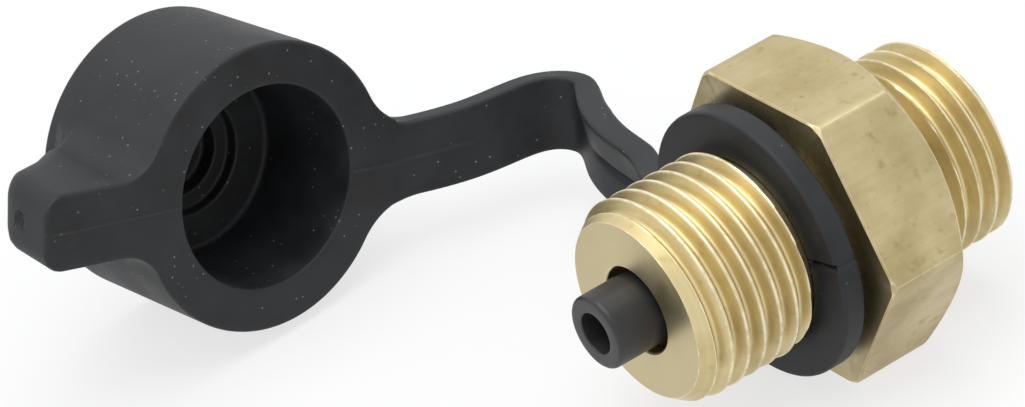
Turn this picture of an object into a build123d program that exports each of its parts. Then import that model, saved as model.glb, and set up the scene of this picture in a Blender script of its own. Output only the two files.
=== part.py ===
"""Test point coupling: a brass valve body with a hollow push plunger, and a rubber dust cap on a strap.

Millimetres. The origin lies on the body's axis, in the face of the hexagon that the port seats against.
+X runs along the axis towards the test end, and +Z points up, square to the flat that is underneath.
Both M16 x 1.5 threads are plain cylinders at their crest diameter.
"""

from build123d import *
from math import cos, radians, sin, sqrt, tan
import os

os.makedirs("parts", exist_ok=True)

# ---------------------------------------------------------------- driving dimensions

# valve body, outside
hex_across_flats = 22.0
hex_length = 7.7
hex_port_chamfer_angle = 38.0
hex_test_corner_cut = 0.45
hex_test_chamfer_angle = 45.0
thread_diameter = 15.9
thread_relief_depth = 1.0
port_length = 8.0
port_relief_width = 2.3
thread_flank_angle = 30.0
port_end_chamfer = 0.5
test_length = 13.3
test_lead_depth = 1.05
test_lead_length = 1.5

# valve body, inside
chamber_side_wall = 2.45
chamber_wall_at_seat = 1.7
chamber_mouth_chamfer = 0.4
guide_clearance = 0.05
test_mouth_gap = 0.55
test_mouth_depth = 3.0
seal_groove_radial_depth = 1.2
seal_groove_width = 1.5
seal_groove_from_test_face = 6.3
snap_groove_depth = 0.4
snap_groove_from_end = 1.1

# plunger
plunger_diameter = 5.7
plunger_protrusion = 3.7
plunger_travel = 3.0
plunger_bore = 3.2
plunger_end_chamfer = 0.3
plunger_bore_chamfer = 0.15
plunger_flange_gap = 0.6
plunger_flange_thickness = 1.5
plunger_spigot_length = 2.0
plunger_spigot_clearance = 0.5
cross_hole_diameter = 1.6
cross_hole_count = 4
cross_hole_land = 0.8

# seals, spring and its stop
valve_seal_inset = 0.3
valve_seal_thickness = 0.9
stem_seal_clearance = 0.03
stem_seal_side_play = 0.1
spring_wire = 0.7
spring_inset = 0.6
spring_turns = 4.5
spring_wire_sides = 4
plate_thickness = 0.8
plate_clearance = 0.05
plate_hole_count = 6
plate_hole_diameter = 1.8
plate_centre_hole = 2.4
snap_ring_thickness = 0.8
snap_ring_radial_width = 1.1
snap_ring_clearance = 0.05
snap_ring_gap_angle = 50.0
snap_ring_lug_radius = 1.0
snap_ring_lug_hole = 0.9
snap_ring_lug_turn = 9.0
snap_ring_lug_inset = 0.05

# dust cap: cup
cup_wall = 3.35
cup_draft = 0.2
cup_mouth_grip = 0.1
cup_end_grip = 0.4
cup_bore_depth = 10.0
cup_recess_diameter = 9.2
cup_recess_depth = 1.0
cup_well_clearance = 0.45
cup_well_depth = 1.4
cup_floor = 1.0
cup_end_chamfer = 0.4

# dust cap: pull tab, strap and neck ring
band_width = 5.9
band_thickness = 1.9
tab_length = 9.0
tab_depth = 6.3
tab_root_radius = 3.5
tab_corner_radius = 0.9
strap_root_radius = 2.5
strap_root_straight = 0.2
ring_wall = 3.47
ring_clearance = 0.08
ring_gap_to_hex = 1.0
ring_gap_to_thread = 0.3
ring_root_radius = 0.8
strap_step = 2.2

# where the loose cap lies: its rim rests level with the hexagon's lowest flat
ring_strap_angle = 192.7
cap_yaw = 4.9
cap_pitch = 4.6
cap_roll = 19.0
cap_mouth_ahead_of_ring = 19.75
cap_mouth_beyond_hex = 21.0

# corners of the strap's route: ahead of the ring, beyond the hexagon's corner, above the axis,
# and the share of the shorter leg beside it that each corner's rounding takes up, at most 0.5
strap_corners = [
    (-2.35, 3.6, -3.15, 0.35),
    (-3.2, 9.9, -3.55, 0.38),
    (-7.7, 19.5, -4.4, 0.5),
    (0.25, 20.55, -3.7, 0.2),
]
strap_end_corner = 0.5
strap_bend_short_of_hex_corner = 1.35
strap_end_softness = 0.5

# ---------------------------------------------------------------- derived sizes

hex_corner_diameter = hex_across_flats * 2 / sqrt(3)
hex_test_chamfer_diameter = hex_corner_diameter - 2 * hex_test_corner_cut
thread_relief_diameter = thread_diameter - 2 * thread_relief_depth
relief_run_out = thread_relief_depth * tan(radians(thread_flank_angle))
test_face_x = hex_length + test_length
test_lead_x = test_face_x - test_lead_length
test_face_diameter = thread_diameter - 2 * test_lead_depth
port_face_x = -port_length

seat_x = hex_length - chamber_wall_at_seat
chamber_diameter = thread_relief_diameter - 2 * chamber_side_wall
guide_diameter = plunger_diameter + 2 * guide_clearance
test_mouth_diameter = plunger_diameter + 2 * test_mouth_gap
seal_groove_end_x = test_face_x - seal_groove_from_test_face
seal_groove_start_x = seal_groove_end_x - seal_groove_width
seal_groove_diameter = plunger_diameter + 2 * seal_groove_radial_depth
snap_groove_start_x = port_face_x + snap_groove_from_end
snap_groove_diameter = chamber_diameter + 2 * snap_groove_depth
snap_ring_end_x = snap_groove_start_x + snap_ring_thickness
snap_groove_end_x = snap_ring_end_x + snap_ring_clearance
plate_end_x = snap_ring_end_x + plate_thickness
plate_diameter = chamber_diameter - 2 * plate_clearance
plate_hole_circle = (plate_diameter + plate_centre_hole) / 2

plunger_flange_diameter = chamber_diameter - 2 * plunger_flange_gap
valve_seal_diameter = plunger_flange_diameter - 2 * valve_seal_inset
spring_mean_diameter = plunger_flange_diameter - 2 * spring_inset - spring_wire
plunger_spigot_diameter = spring_mean_diameter - spring_wire - 2 * plunger_spigot_clearance
flange_front_x = seat_x - valve_seal_thickness
flange_back_x = flange_front_x - plunger_flange_thickness
spigot_end_x = flange_back_x - plunger_spigot_length
plunger_end_x = test_face_x + plunger_protrusion
cross_hole_x = seat_x + plunger_travel - cross_hole_land - cross_hole_diameter / 2
plunger_bore_end_x = cross_hole_x - cross_hole_diameter / 2

ring_bore_diameter = thread_relief_diameter + 2 * ring_clearance
ring_diameter = ring_bore_diameter + 2 * ring_wall
ring_start_x = hex_length + ring_gap_to_hex
ring_middle_x = ring_start_x + band_thickness / 2
neck_end_x = ring_start_x + band_thickness + ring_gap_to_thread
cup_bore_mouth_diameter = thread_diameter - 2 * cup_mouth_grip
cup_bore_end_diameter = thread_diameter - 2 * cup_end_grip
cup_mouth_diameter = cup_bore_mouth_diameter + 2 * cup_wall
cup_end_diameter = cup_mouth_diameter - 2 * cup_draft
cup_well_diameter = plunger_diameter + 2 * cup_well_clearance
cup_height = cup_bore_depth + cup_recess_depth + cup_well_depth + cup_floor
tab_reach = cup_mouth_diameter / 2 + tab_length

# ---------------------------------------------------------------- shared shapes


def turned(outline):
    """Solid of revolution about the X axis from (x, radius) points given in order round its section."""
    points = [(x, radius) for x, radius in outline]
    section = make_face(Polyline(*points, close=True))
    return revolve(section, axis=Axis.X)


def disc_ring(start_x, end_x, outer_diameter, inner_diameter):
    """Plain washer about the X axis."""
    inner, outer = inner_diameter / 2, outer_diameter / 2
    return turned([(start_x, inner), (end_x, inner), (end_x, outer), (start_x, outer)])


def chamfer_cone(face_x, direction, circle_diameter, angle):
    """Cone that a lathe leaves on the hexagon's end: its small end is circle_diameter, in the face."""
    reach = hex_corner_diameter
    run = (reach - circle_diameter / 2) * tan(radians(angle))
    back_x = face_x - direction * run
    return turned([(face_x, 0), (face_x, circle_diameter / 2), (back_x, reach), (back_x, 0)])


# ---------------------------------------------------------------- valve body


def hexagon():
    """Spanner hexagon with both ends chamfered, and its corners at +Y and -Y."""
    profile = Plane.YZ * RegularPolygon(hex_corner_diameter / 2, 6)
    blank = extrude(profile, hex_length)
    blank &= chamfer_cone(0, -1, hex_across_flats, hex_port_chamfer_angle)
    return blank & chamfer_cone(hex_length, 1, hex_test_chamfer_diameter, hex_test_chamfer_angle)


def port_stem():
    """Thread that screws into the port, with a relief groove against the hexagon."""
    crest, relief = thread_diameter / 2, thread_relief_diameter / 2
    return turned(
        [
            (hex_length / 2, 0),
            (hex_length / 2, relief),
            (-port_relief_width, relief),
            (-port_relief_width - relief_run_out, crest),
            (port_face_x + port_end_chamfer, crest),
            (port_face_x, crest - port_end_chamfer),
            (port_face_x, 0),
        ]
    )


def test_stem():
    """Thread that takes the test hose or the cap, with the neck that carries the cap's ring."""
    crest, relief = thread_diameter / 2, thread_relief_diameter / 2
    return turned(
        [
            (hex_length / 2, 0),
            (hex_length / 2, relief),
            (neck_end_x, relief),
            (neck_end_x + relief_run_out, crest),
            (test_lead_x, crest),
            (test_face_x, test_face_diameter / 2),
            (test_face_x, 0),
        ]
    )


def body_bore():
    """Everything bored out of the body: spring chamber, ring groove, stem guide, seal groove and mouth."""
    chamber, guide = chamber_diameter / 2, guide_diameter / 2
    mouth, seal_groove = test_mouth_diameter / 2, seal_groove_diameter / 2
    snap_groove = snap_groove_diameter / 2
    return turned(
        [
            (port_face_x, 0),
            (port_face_x, chamber + chamber_mouth_chamfer),
            (port_face_x + chamber_mouth_chamfer, chamber),
            (snap_groove_start_x, chamber),
            (snap_groove_start_x, snap_groove),
            (snap_groove_end_x, snap_groove),
            (snap_groove_end_x, chamber),
            (seat_x, chamber),
            (seat_x, guide),
            (seal_groove_start_x, guide),
            (seal_groove_start_x, seal_groove),
            (seal_groove_end_x, seal_groove),
            (seal_groove_end_x, guide),
            (test_face_x - test_mouth_depth, guide),
            (test_face_x - test_mouth_depth, mouth),
            (test_face_x, mouth),
            (test_face_x, 0),
        ]
    )


def valve_body():
    return hexagon() + port_stem() + test_stem() - body_bore()


# ---------------------------------------------------------------- plunger and what rides on it


def plunger():
    """Hollow stem with a flange behind the seat, a spring spigot and cross holes into its bore."""
    stem, flange = plunger_diameter / 2, plunger_flange_diameter / 2
    spigot, bore = plunger_spigot_diameter / 2, plunger_bore / 2
    blank = turned(
        [
            (spigot_end_x, 0),
            (spigot_end_x, spigot),
            (flange_back_x, spigot),
            (flange_back_x, flange),
            (flange_front_x, flange),
            (flange_front_x, stem),
            (plunger_end_x - plunger_end_chamfer, stem),
            (plunger_end_x, stem - plunger_end_chamfer),
            (plunger_end_x, 0),
        ]
    )
    drill_tip_x = plunger_bore_end_x - bore * tan(radians(30))
    blank -= turned(
        [
            (drill_tip_x, 0),
            (plunger_bore_end_x, bore),
            (plunger_end_x - plunger_bore_chamfer, bore),
            (plunger_end_x, bore + plunger_bore_chamfer),
            (plunger_end_x, 0),
        ]
    )
    for index in range(cross_hole_count):
        turn = Rot(X=index * 360 / cross_hole_count)
        hole = Pos(cross_hole_x, 0, stem / 2) * Cylinder(cross_hole_diameter / 2, plunger_diameter)
        blank -= turn * hole
    return blank


def valve_seal():
    """Flat rubber washer in front of the flange, which closes on the body's seat."""
    return disc_ring(flange_front_x, seat_x, valve_seal_diameter, plunger_diameter)


def stem_seal():
    """Square-section seal in the guide's groove, which bears on the groove and the stem."""
    inner_diameter = plunger_diameter + 2 * stem_seal_clearance
    start_x, end_x = seal_groove_start_x + stem_seal_side_play, seal_groove_end_x - stem_seal_side_play
    return disc_ring(start_x, end_x, seal_groove_diameter, inner_diameter)


# ---------------------------------------------------------------- spring and its stop


def return_spring():
    """Compression spring from the plate to the flange, its round wire drawn with a few flat sides."""
    start_x, end_x = plate_end_x + spring_wire / 2, flange_back_x - spring_wire / 2
    height = end_x - start_x
    radius = spring_mean_diameter / 2
    coil = Helix(height / spring_turns, height, radius)
    wire = Plane(coil @ 0, z_dir=coil % 0) * RegularPolygon(spring_wire / 2, spring_wire_sides)
    upright = sweep(wire, path=coil, is_frenet=True)
    return Pos(start_x, 0, 0) * Rot(Y=90) * upright


def spring_plate():
    """Perforated plate that the spring stands on."""
    sketch = Circle(plate_diameter / 2) - Circle(plate_centre_hole / 2)
    sketch -= PolarLocations(plate_hole_circle / 2, plate_hole_count) * Circle(plate_hole_diameter / 2)
    return extrude(Plane.YZ.offset(snap_ring_end_x) * sketch, plate_thickness)


def retaining_ring():
    """Internal circlip with two drilled lugs either side of its gap."""
    outer = snap_groove_diameter / 2 - snap_ring_clearance
    half_gap = radians(snap_ring_gap_angle / 2)
    gap_side, gap_reach = outer * 2 * sin(half_gap), outer * 2 * cos(half_gap)
    sketch = Circle(outer) - Circle(outer - snap_ring_radial_width)
    sketch -= make_face(Polyline((0, 0), (gap_side, -gap_reach), (-gap_side, -gap_reach), close=True))
    lug_spots = PolarLocations(
        outer - snap_ring_lug_radius - snap_ring_lug_inset,
        2,
        start_angle=-90 - snap_ring_gap_angle / 2 - snap_ring_lug_turn,
        angular_range=snap_ring_gap_angle + 2 * snap_ring_lug_turn,
        endpoint=True,
    )
    sketch += lug_spots * Circle(snap_ring_lug_radius)
    sketch -= lug_spots * Circle(snap_ring_lug_hole / 2)
    return extrude(Plane.YZ.offset(snap_groove_start_x) * sketch, snap_ring_thickness)


# ---------------------------------------------------------------- dust cap, one rubber moulding


def beside_hexagon(ahead, beyond, above):
    """Point placed from the ring's middle, the hexagon's corner and the body's axis."""
    return Vector(ring_middle_x + ahead, -hex_corner_diameter / 2 - beyond, above)


def cap_plane():
    """Plane of the cup's mouth: Z points out of the mouth, and X along the pull tab."""
    yaw, pitch, roll = radians(cap_yaw), radians(cap_pitch), radians(cap_roll)
    out = Vector(-sin(yaw) * cos(pitch), cos(yaw) * cos(pitch), sin(pitch))
    level = Vector(cos(yaw), sin(yaw), 0)
    upright = level.cross(out)
    rim_drop = cup_end_diameter / 2 * cos(pitch) + (cup_height - cup_end_chamfer) * sin(pitch)
    mouth_height = rim_drop - hex_across_flats / 2
    centre = beside_hexagon(cap_mouth_ahead_of_ring, cap_mouth_beyond_hex, mouth_height)
    return Plane(centre, x_dir=level * cos(roll) + upright * sin(roll), z_dir=out)


def ring_plane():
    """Plane of the neck ring's test-side face: Z points to the test end, and X along the strap."""
    angle = radians(ring_strap_angle)
    strap_way = Vector(0, cos(angle), sin(angle))
    return Plane(Vector(ring_start_x + band_thickness, 0, 0), x_dir=strap_way, z_dir=Vector(1, 0, 0))


def root_reach(hub_diameter, root_radius):
    """How far from its hub's centre an arm's root goes: past its fillets by a short straight piece."""
    fillet_end = sqrt((hub_diameter / 2 + root_radius) ** 2 - (band_width / 2 + root_radius) ** 2)
    return fillet_end + strap_root_straight


def rooted_arm(hub_diameter, reach, direction, root_radius):
    """Sketch of a round hub with a band-wide arm along direction * X, and filleted roots."""
    arm = Pos(direction * reach / 2, 0) * Rectangle(reach, band_width)
    sketch = Circle(hub_diameter / 2) + arm
    roots = sketch.vertices().sort_by(Axis.X)
    roots = roots[:-2] if direction > 0 else roots[2:]
    return fillet([root for root in roots if root.Y != 0], root_radius)


def cup():
    """Cup with a stepped bottom that clears the plunger's end."""
    mouth, end = cup_mouth_diameter / 2, cup_end_diameter / 2
    bore_mouth, bore_end = cup_bore_mouth_diameter / 2, cup_bore_end_diameter / 2
    recess, well = cup_recess_diameter / 2, cup_well_diameter / 2
    recess_floor = cup_bore_depth + cup_recess_depth
    well_floor = recess_floor + cup_well_depth
    outline = [
        (0, -well_floor),
        (well, -well_floor),
        (well, -recess_floor),
        (recess, -recess_floor),
        (recess, -cup_bore_depth),
        (bore_end, -cup_bore_depth),
        (bore_mouth, 0),
        (mouth, 0),
        (end, cup_end_chamfer - cup_height),
        (end - cup_end_chamfer, -cup_height),
        (0, -cup_height),
    ]
    return revolve(make_face(Plane.XZ * Polyline(*outline, close=True)), axis=Axis.Z)


def tab():
    """Pull tab: flush with the mouth, shallower than the cup, and rounded at its back edge."""
    sketch = rooted_arm(cup_mouth_diameter, tab_reach, 1, tab_root_radius)
    tips = [v for v in sketch.vertices() if abs(v.X - tab_reach) < 0.01]
    sketch = fillet(tips, tab_corner_radius)
    return extrude(sketch, -tab_depth)


def cup_with_arms():
    """Cup, tab and the strap's root, in the cap's own plane."""
    reach = root_reach(cup_mouth_diameter, strap_root_radius)
    strap_root = extrude(rooted_arm(cup_mouth_diameter, reach, -1, strap_root_radius), -band_thickness)
    bore = Cone(
        cup_bore_end_diameter / 2,
        cup_bore_mouth_diameter / 2,
        cup_bore_depth,
        align=(Align.CENTER, Align.CENTER, Align.MAX),
    )
    return cup() + (tab() + strap_root - bore)


def neck_ring():
    """Flat ring round the neck, with the strap's root."""
    sketch = rooted_arm(ring_diameter, root_reach(ring_diameter, ring_root_radius), 1, ring_root_radius)
    sketch -= Circle(ring_bore_diameter / 2)
    return extrude(sketch, -band_thickness)


def corner_radius(before, corner, after, softness):
    """Radius that rounds a corner over the given share of the shorter leg beside it."""
    arriving, leaving = corner - before, after - corner
    half_turn = radians(arriving.get_angle(leaving)) / 2
    return softness * min(arriving.length, leaving.length) / tan(half_turn)


def strap_route():
    """Centreline of the strap, from the end of the ring's root to the end of the cup's root."""
    near, far = ring_plane(), cap_plane()
    near_reach = root_reach(ring_diameter, ring_root_radius)
    far_reach = root_reach(cup_mouth_diameter, strap_root_radius)
    middle = -band_thickness / 2
    beside_hex_corner = hex_corner_diameter / 2 - strap_bend_short_of_hex_corner
    near_ends = (near_reach, max(near_reach + strap_end_corner, beside_hex_corner))
    far_ends = (-far_reach - strap_end_corner, -far_reach)
    route = [near.from_local_coords(Vector(reach, 0, middle)) for reach in near_ends]
    route += [beside_hexagon(ahead, beyond, above) for ahead, beyond, above, softness in strap_corners]
    route += [far.from_local_coords(Vector(reach, 0, middle)) for reach in far_ends]
    shares = [strap_end_softness, *(corner[3] for corner in strap_corners), strap_end_softness]
    radii = [corner_radius(*route[index : index + 3], share) for index, share in enumerate(shares)]
    return FilletPolyline(*route, radius=radii)


def strap():
    """Bent band from the neck ring to the cup, in short ruled lengths, its width nearly upright."""
    route = strap_route()
    near_width, far_width = -ring_plane().y_dir, -cap_plane().y_dir
    count = round(route.length / strap_step)
    sections = []
    for index in range(count + 1):
        share = index / count
        along = route % share
        width = near_width * (1 - share) + far_width * share
        width = (width - along * width.dot(along)).normalized()
        station = Plane(route @ share, x_dir=width, z_dir=along)
        sections.append(station * Rectangle(band_width, band_thickness))
    return loft(sections, ruled=True)


def dust_cap():
    return cap_plane() * cup_with_arms() + ring_plane() * neck_ring() + strap()


# ---------------------------------------------------------------- files

pieces = {
    "valve_body": valve_body,
    "plunger": plunger,
    "valve_seal": valve_seal,
    "stem_seal": stem_seal,
    "return_spring": return_spring,
    "spring_plate": spring_plate,
    "retaining_ring": retaining_ring,
    "dust_cap": dust_cap,
}

for name, make in pieces.items():
    export_step(make(), f"parts/{name}.step")
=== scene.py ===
"""Looks of a test point coupling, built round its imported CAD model.

A turned brass valve body with two real M16 x 1.5 threads, its hollow push plunger, the valve parts
behind it, and a one-piece rubber dust cap on a bent strap. Everything is in metres, in the CAD frame:
+X runs along the body's axis to the test end, +Z is up, and the port seats at x = 0.
Sizes inside the classes are in millimetres, and MM turns them to metres.
"""

import logging
import math
from dataclasses import dataclass, field
from enum import Enum
from typing import Any, Iterable, Sequence

import bmesh
import bpy
import numpy as np
from mathutils import Matrix, Vector


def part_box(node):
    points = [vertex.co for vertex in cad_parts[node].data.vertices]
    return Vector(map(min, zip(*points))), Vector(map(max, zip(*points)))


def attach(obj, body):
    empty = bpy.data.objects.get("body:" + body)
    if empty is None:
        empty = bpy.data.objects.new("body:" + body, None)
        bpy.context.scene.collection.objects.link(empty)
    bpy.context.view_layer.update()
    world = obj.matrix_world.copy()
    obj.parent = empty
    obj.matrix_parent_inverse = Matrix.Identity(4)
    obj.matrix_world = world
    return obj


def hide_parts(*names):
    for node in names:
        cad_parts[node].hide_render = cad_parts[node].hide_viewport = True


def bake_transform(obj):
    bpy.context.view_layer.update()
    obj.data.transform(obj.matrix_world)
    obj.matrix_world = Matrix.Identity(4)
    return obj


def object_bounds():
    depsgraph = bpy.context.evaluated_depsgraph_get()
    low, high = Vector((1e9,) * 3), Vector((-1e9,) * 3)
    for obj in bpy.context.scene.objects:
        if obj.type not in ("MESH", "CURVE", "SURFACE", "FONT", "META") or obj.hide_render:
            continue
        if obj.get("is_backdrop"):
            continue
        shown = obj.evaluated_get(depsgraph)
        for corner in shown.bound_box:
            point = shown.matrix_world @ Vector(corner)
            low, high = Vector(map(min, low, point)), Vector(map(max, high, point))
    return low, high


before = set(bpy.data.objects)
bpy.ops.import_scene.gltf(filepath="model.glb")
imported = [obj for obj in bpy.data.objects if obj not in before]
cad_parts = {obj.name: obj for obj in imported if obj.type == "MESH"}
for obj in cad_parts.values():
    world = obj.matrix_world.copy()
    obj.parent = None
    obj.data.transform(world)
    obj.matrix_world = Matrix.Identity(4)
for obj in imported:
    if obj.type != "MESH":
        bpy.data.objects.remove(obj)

MM = 0.001
WELD = 0.002
LOG = logging.getLogger("test_point_coupling")


class Body(Enum):
    """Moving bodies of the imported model."""

    FITTING = "fitting"
    STEM = "valve_stem"
    CAP = "cap"


class Slot(Enum):
    """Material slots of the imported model."""

    BRASS = "brass"
    POLYMER = "plunger_polymer"
    SEAL = "seal_rubber"
    STEEL = "spring_steel"
    CAP = "cap_rubber"


class Working(Enum):
    """How a brass surface got its fine marks."""

    TURNED = "feed marks round the axis"
    DRAWN = "die marks along the bar"


# ---------------------------------------------------------------- nodes


def add_node(
    tree: bpy.types.NodeTree, kind: str, inputs: dict[int | str, Any] | None = None, **settings: Any
) -> bpy.types.Node:
    """Adds one node.

    Args:
        tree: Tree that the node goes into.
        kind: Blender's name for the node type.
        inputs: Values, or nodes and sockets to link, by input name or number.
        **settings: The node's own properties.

    Returns:
        The node.
    """
    node = tree.nodes.new(kind)
    for name, value in settings.items():
        setattr(node, name, value)
    for key, value in (inputs or {}).items():
        if isinstance(value, bpy.types.Node):
            value = value.outputs[0]
        if isinstance(value, bpy.types.NodeSocket):
            tree.links.new(value, node.inputs[key])
        else:
            node.inputs[key].default_value = value
    return node


def colour(code: str) -> tuple[float, float, float, float]:
    """Turns an sRGB hex code to the linear colour that nodes take.

    Args:
        code: Six hex digits after a hash.

    Returns:
        Linear red, green, blue and alpha.
    """
    parts = [int(code[i : i + 2], 16) / 255 for i in (1, 3, 5)]
    linear = [p / 12.92 if p <= 0.04045 else ((p + 0.055) / 1.055) ** 2.4 for p in parts]
    return (linear[0], linear[1], linear[2], 1.0)


def fresh_tree(owner: bpy.types.Material | bpy.types.World) -> bpy.types.NodeTree:
    """Turns a material's or world's nodes on, and gives its tree emptied."""
    owner.use_nodes = True
    owner.node_tree.nodes.clear()
    return owner.node_tree


# ---------------------------------------------------------------- finishes


@dataclass(frozen=True)
class Finish:
    """A surface finish that makes its own material."""

    name: str

    def material(self) -> bpy.types.Material:
        """Makes the finish's material on its first use.

        Returns:
            The material, shared by every piece in this finish.
        """
        found = bpy.data.materials.get(self.name)
        if found:
            return found
        made = bpy.data.materials.new(self.name)
        tree = fresh_tree(made)
        shader = add_node(tree, "ShaderNodeBsdfPrincipled")
        add_node(tree, "ShaderNodeOutputMaterial", {"Surface": shader})
        self.dress(tree, shader)
        return made

    def dress(self, tree: bpy.types.NodeTree, shader: bpy.types.Node) -> None:
        """Sets the shader up; each finish has its own way.

        Args:
            tree: The material's tree.
            shader: Its Principled shader.
        """
        raise NotImplementedError


@dataclass(frozen=True)
class Brass(Finish):
    """CW614N free-cutting brass: a pale satin yellow, dulled by handling, its edges near white, partly worn,
    partly painted highlight.
    """

    working: Working = Working.TURNED
    fresh: str = "#DFCE9E"
    dull: str = "#CAB98A"
    stain: str = "#9C8A5E"
    faced: str = "#C9BB94"
    # near white painted on convex edges and crests: partly wear, partly painted highlight
    edge: str = "#FAF2D6"
    roughness: float = 0.38
    stained: float = 0.35

    def marks(self, tree: bpy.types.NodeTree, place: bpy.types.NodeSocket) -> bpy.types.Node:
        """Fine tool marks, as one height.

        Args:
            tree: The material's tree.
            place: Object coordinates.

        Returns:
            A noise node whose first output is the height.
        """
        if self.working is Working.DRAWN:
            # die marks: 0.4 mm apart across the flat, coarser than real ones so that they show
            along = add_node(tree, "ShaderNodeMapping", {0: place, "Scale": (40.0, 2600.0, 2600.0)})
            return add_node(tree, "ShaderNodeTexNoise", {"Vector": along, "Scale": 1.0, "Detail": 2.0})
        # feed marks: 0.15 mm apart, along the axis on a cylinder and across it on a face
        parts = add_node(tree, "ShaderNodeSeparateXYZ", {0: place})
        flat = add_node(tree, "ShaderNodeCombineXYZ", {1: parts.outputs[1], 2: parts.outputs[2]})
        radius = add_node(tree, "ShaderNodeVectorMath", {0: flat}, operation="LENGTH")
        feed = add_node(
            tree, "ShaderNodeMath", {0: parts.outputs[0], 1: radius.outputs["Value"]}, operation="ADD"
        )
        return add_node(
            tree, "ShaderNodeTexNoise", {"W": feed, "Scale": 6500.0, "Detail": 1.0}, noise_dimensions="1D"
        )

    def dress(self, tree: bpy.types.NodeTree, shader: bpy.types.Node) -> None:
        """Base colour from stains and handling, edges painted near white as wear and painted highlight, and
        tool marks as bump.

        Args:
            tree: The material's tree.
            shader: Its Principled shader.
        """
        place = add_node(tree, "ShaderNodeTexCoord").outputs["Object"]
        marks = self.marks(tree, place)
        # handling dulls patches about 4 mm across
        cloud = add_node(tree, "ShaderNodeTexNoise", {"Vector": place, "Scale": 240.0, "Detail": 4.0})
        patch = add_node(tree, "ShaderNodeMapRange", {"Value": cloud, "From Min": 0.36, "From Max": 0.66})
        body = add_node(
            tree,
            "ShaderNodeMix",
            {0: patch, 6: colour(self.fresh), 7: colour(self.dull)},
            data_type="RGBA",
        )
        # small stains, each under a millimetre
        specks = add_node(tree, "ShaderNodeTexNoise", {"Vector": place, "Scale": 1100.0, "Detail": 3.0})
        spots = add_node(
            tree,
            "ShaderNodeMapRange",
            {"Value": specks, "From Min": 0.6, "From Max": 0.76, "To Max": self.stained},
        )
        stained = add_node(
            tree, "ShaderNodeMix", {0: spots, 6: body.outputs[2], 7: colour(self.stain)}, data_type="RGBA"
        )
        streak = add_node(
            tree,
            "ShaderNodeMapRange",
            {"Value": marks, "From Min": 0.3, "From Max": 0.7, "To Min": 0.0, "To Max": 0.16},
        )
        lined = add_node(
            tree,
            "ShaderNodeMix",
            {0: streak, 6: stained.outputs[2], 7: colour(self.stain)},
            data_type="RGBA",
        )
        toned = lined
        if self.working is Working.TURNED:
            # faces turned across the axis are duller than the threads
            normal = add_node(tree, "ShaderNodeNewGeometry").outputs["Normal"]
            facing = add_node(tree, "ShaderNodeSeparateXYZ", {0: normal})
            across = add_node(tree, "ShaderNodeMath", {0: facing.outputs[0]}, operation="ABSOLUTE")
            flat = add_node(tree, "ShaderNodeMapRange", {"Value": across, "From Min": 0.88, "From Max": 0.98})
            toned = add_node(
                tree,
                "ShaderNodeMix",
                {0: flat, 6: lined.outputs[2], 7: colour(self.faced)},
                data_type="RGBA",
            )
        # convex edges and thread crests are painted near white, unevenly: partly rubbed wear, partly painted
        # highlight
        convexity = add_node(tree, "ShaderNodeAttribute", attribute_name="edge")
        wear_and_glint_spread = add_node(
            tree,
            "ShaderNodeMapRange",
            {"Value": specks, "From Min": 0.4, "From Max": 0.56, "To Min": 0.35},
        )
        worn_and_glinting = add_node(tree, "ShaderNodeMath", {0: convexity.outputs["Fac"], 1: wear_and_glint_spread}, operation="MULTIPLY")
        worn_and_highlit = add_node(
            tree, "ShaderNodeMix", {0: worn_and_glinting, 6: toned.outputs[2], 7: colour(self.edge)}, data_type="RGBA"
        )
        matt = add_node(
            tree,
            "ShaderNodeMapRange",
            {
                "Value": cloud,
                "From Min": 0.3,
                "From Max": 0.7,
                "To Min": self.roughness - 0.05,
                "To Max": self.roughness + 0.1,
            },
        )
        bump = add_node(tree, "ShaderNodeBump", {"Height": marks, "Strength": 0.22, "Distance": 0.00002})
        tree.links.new(worn_and_highlit.outputs[2], shader.inputs["Base Color"])
        tree.links.new(matt.outputs[0], shader.inputs["Roughness"])
        tree.links.new(bump.outputs[0], shader.inputs["Normal"])
        shader.inputs["Metallic"].default_value = 1.0


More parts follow.
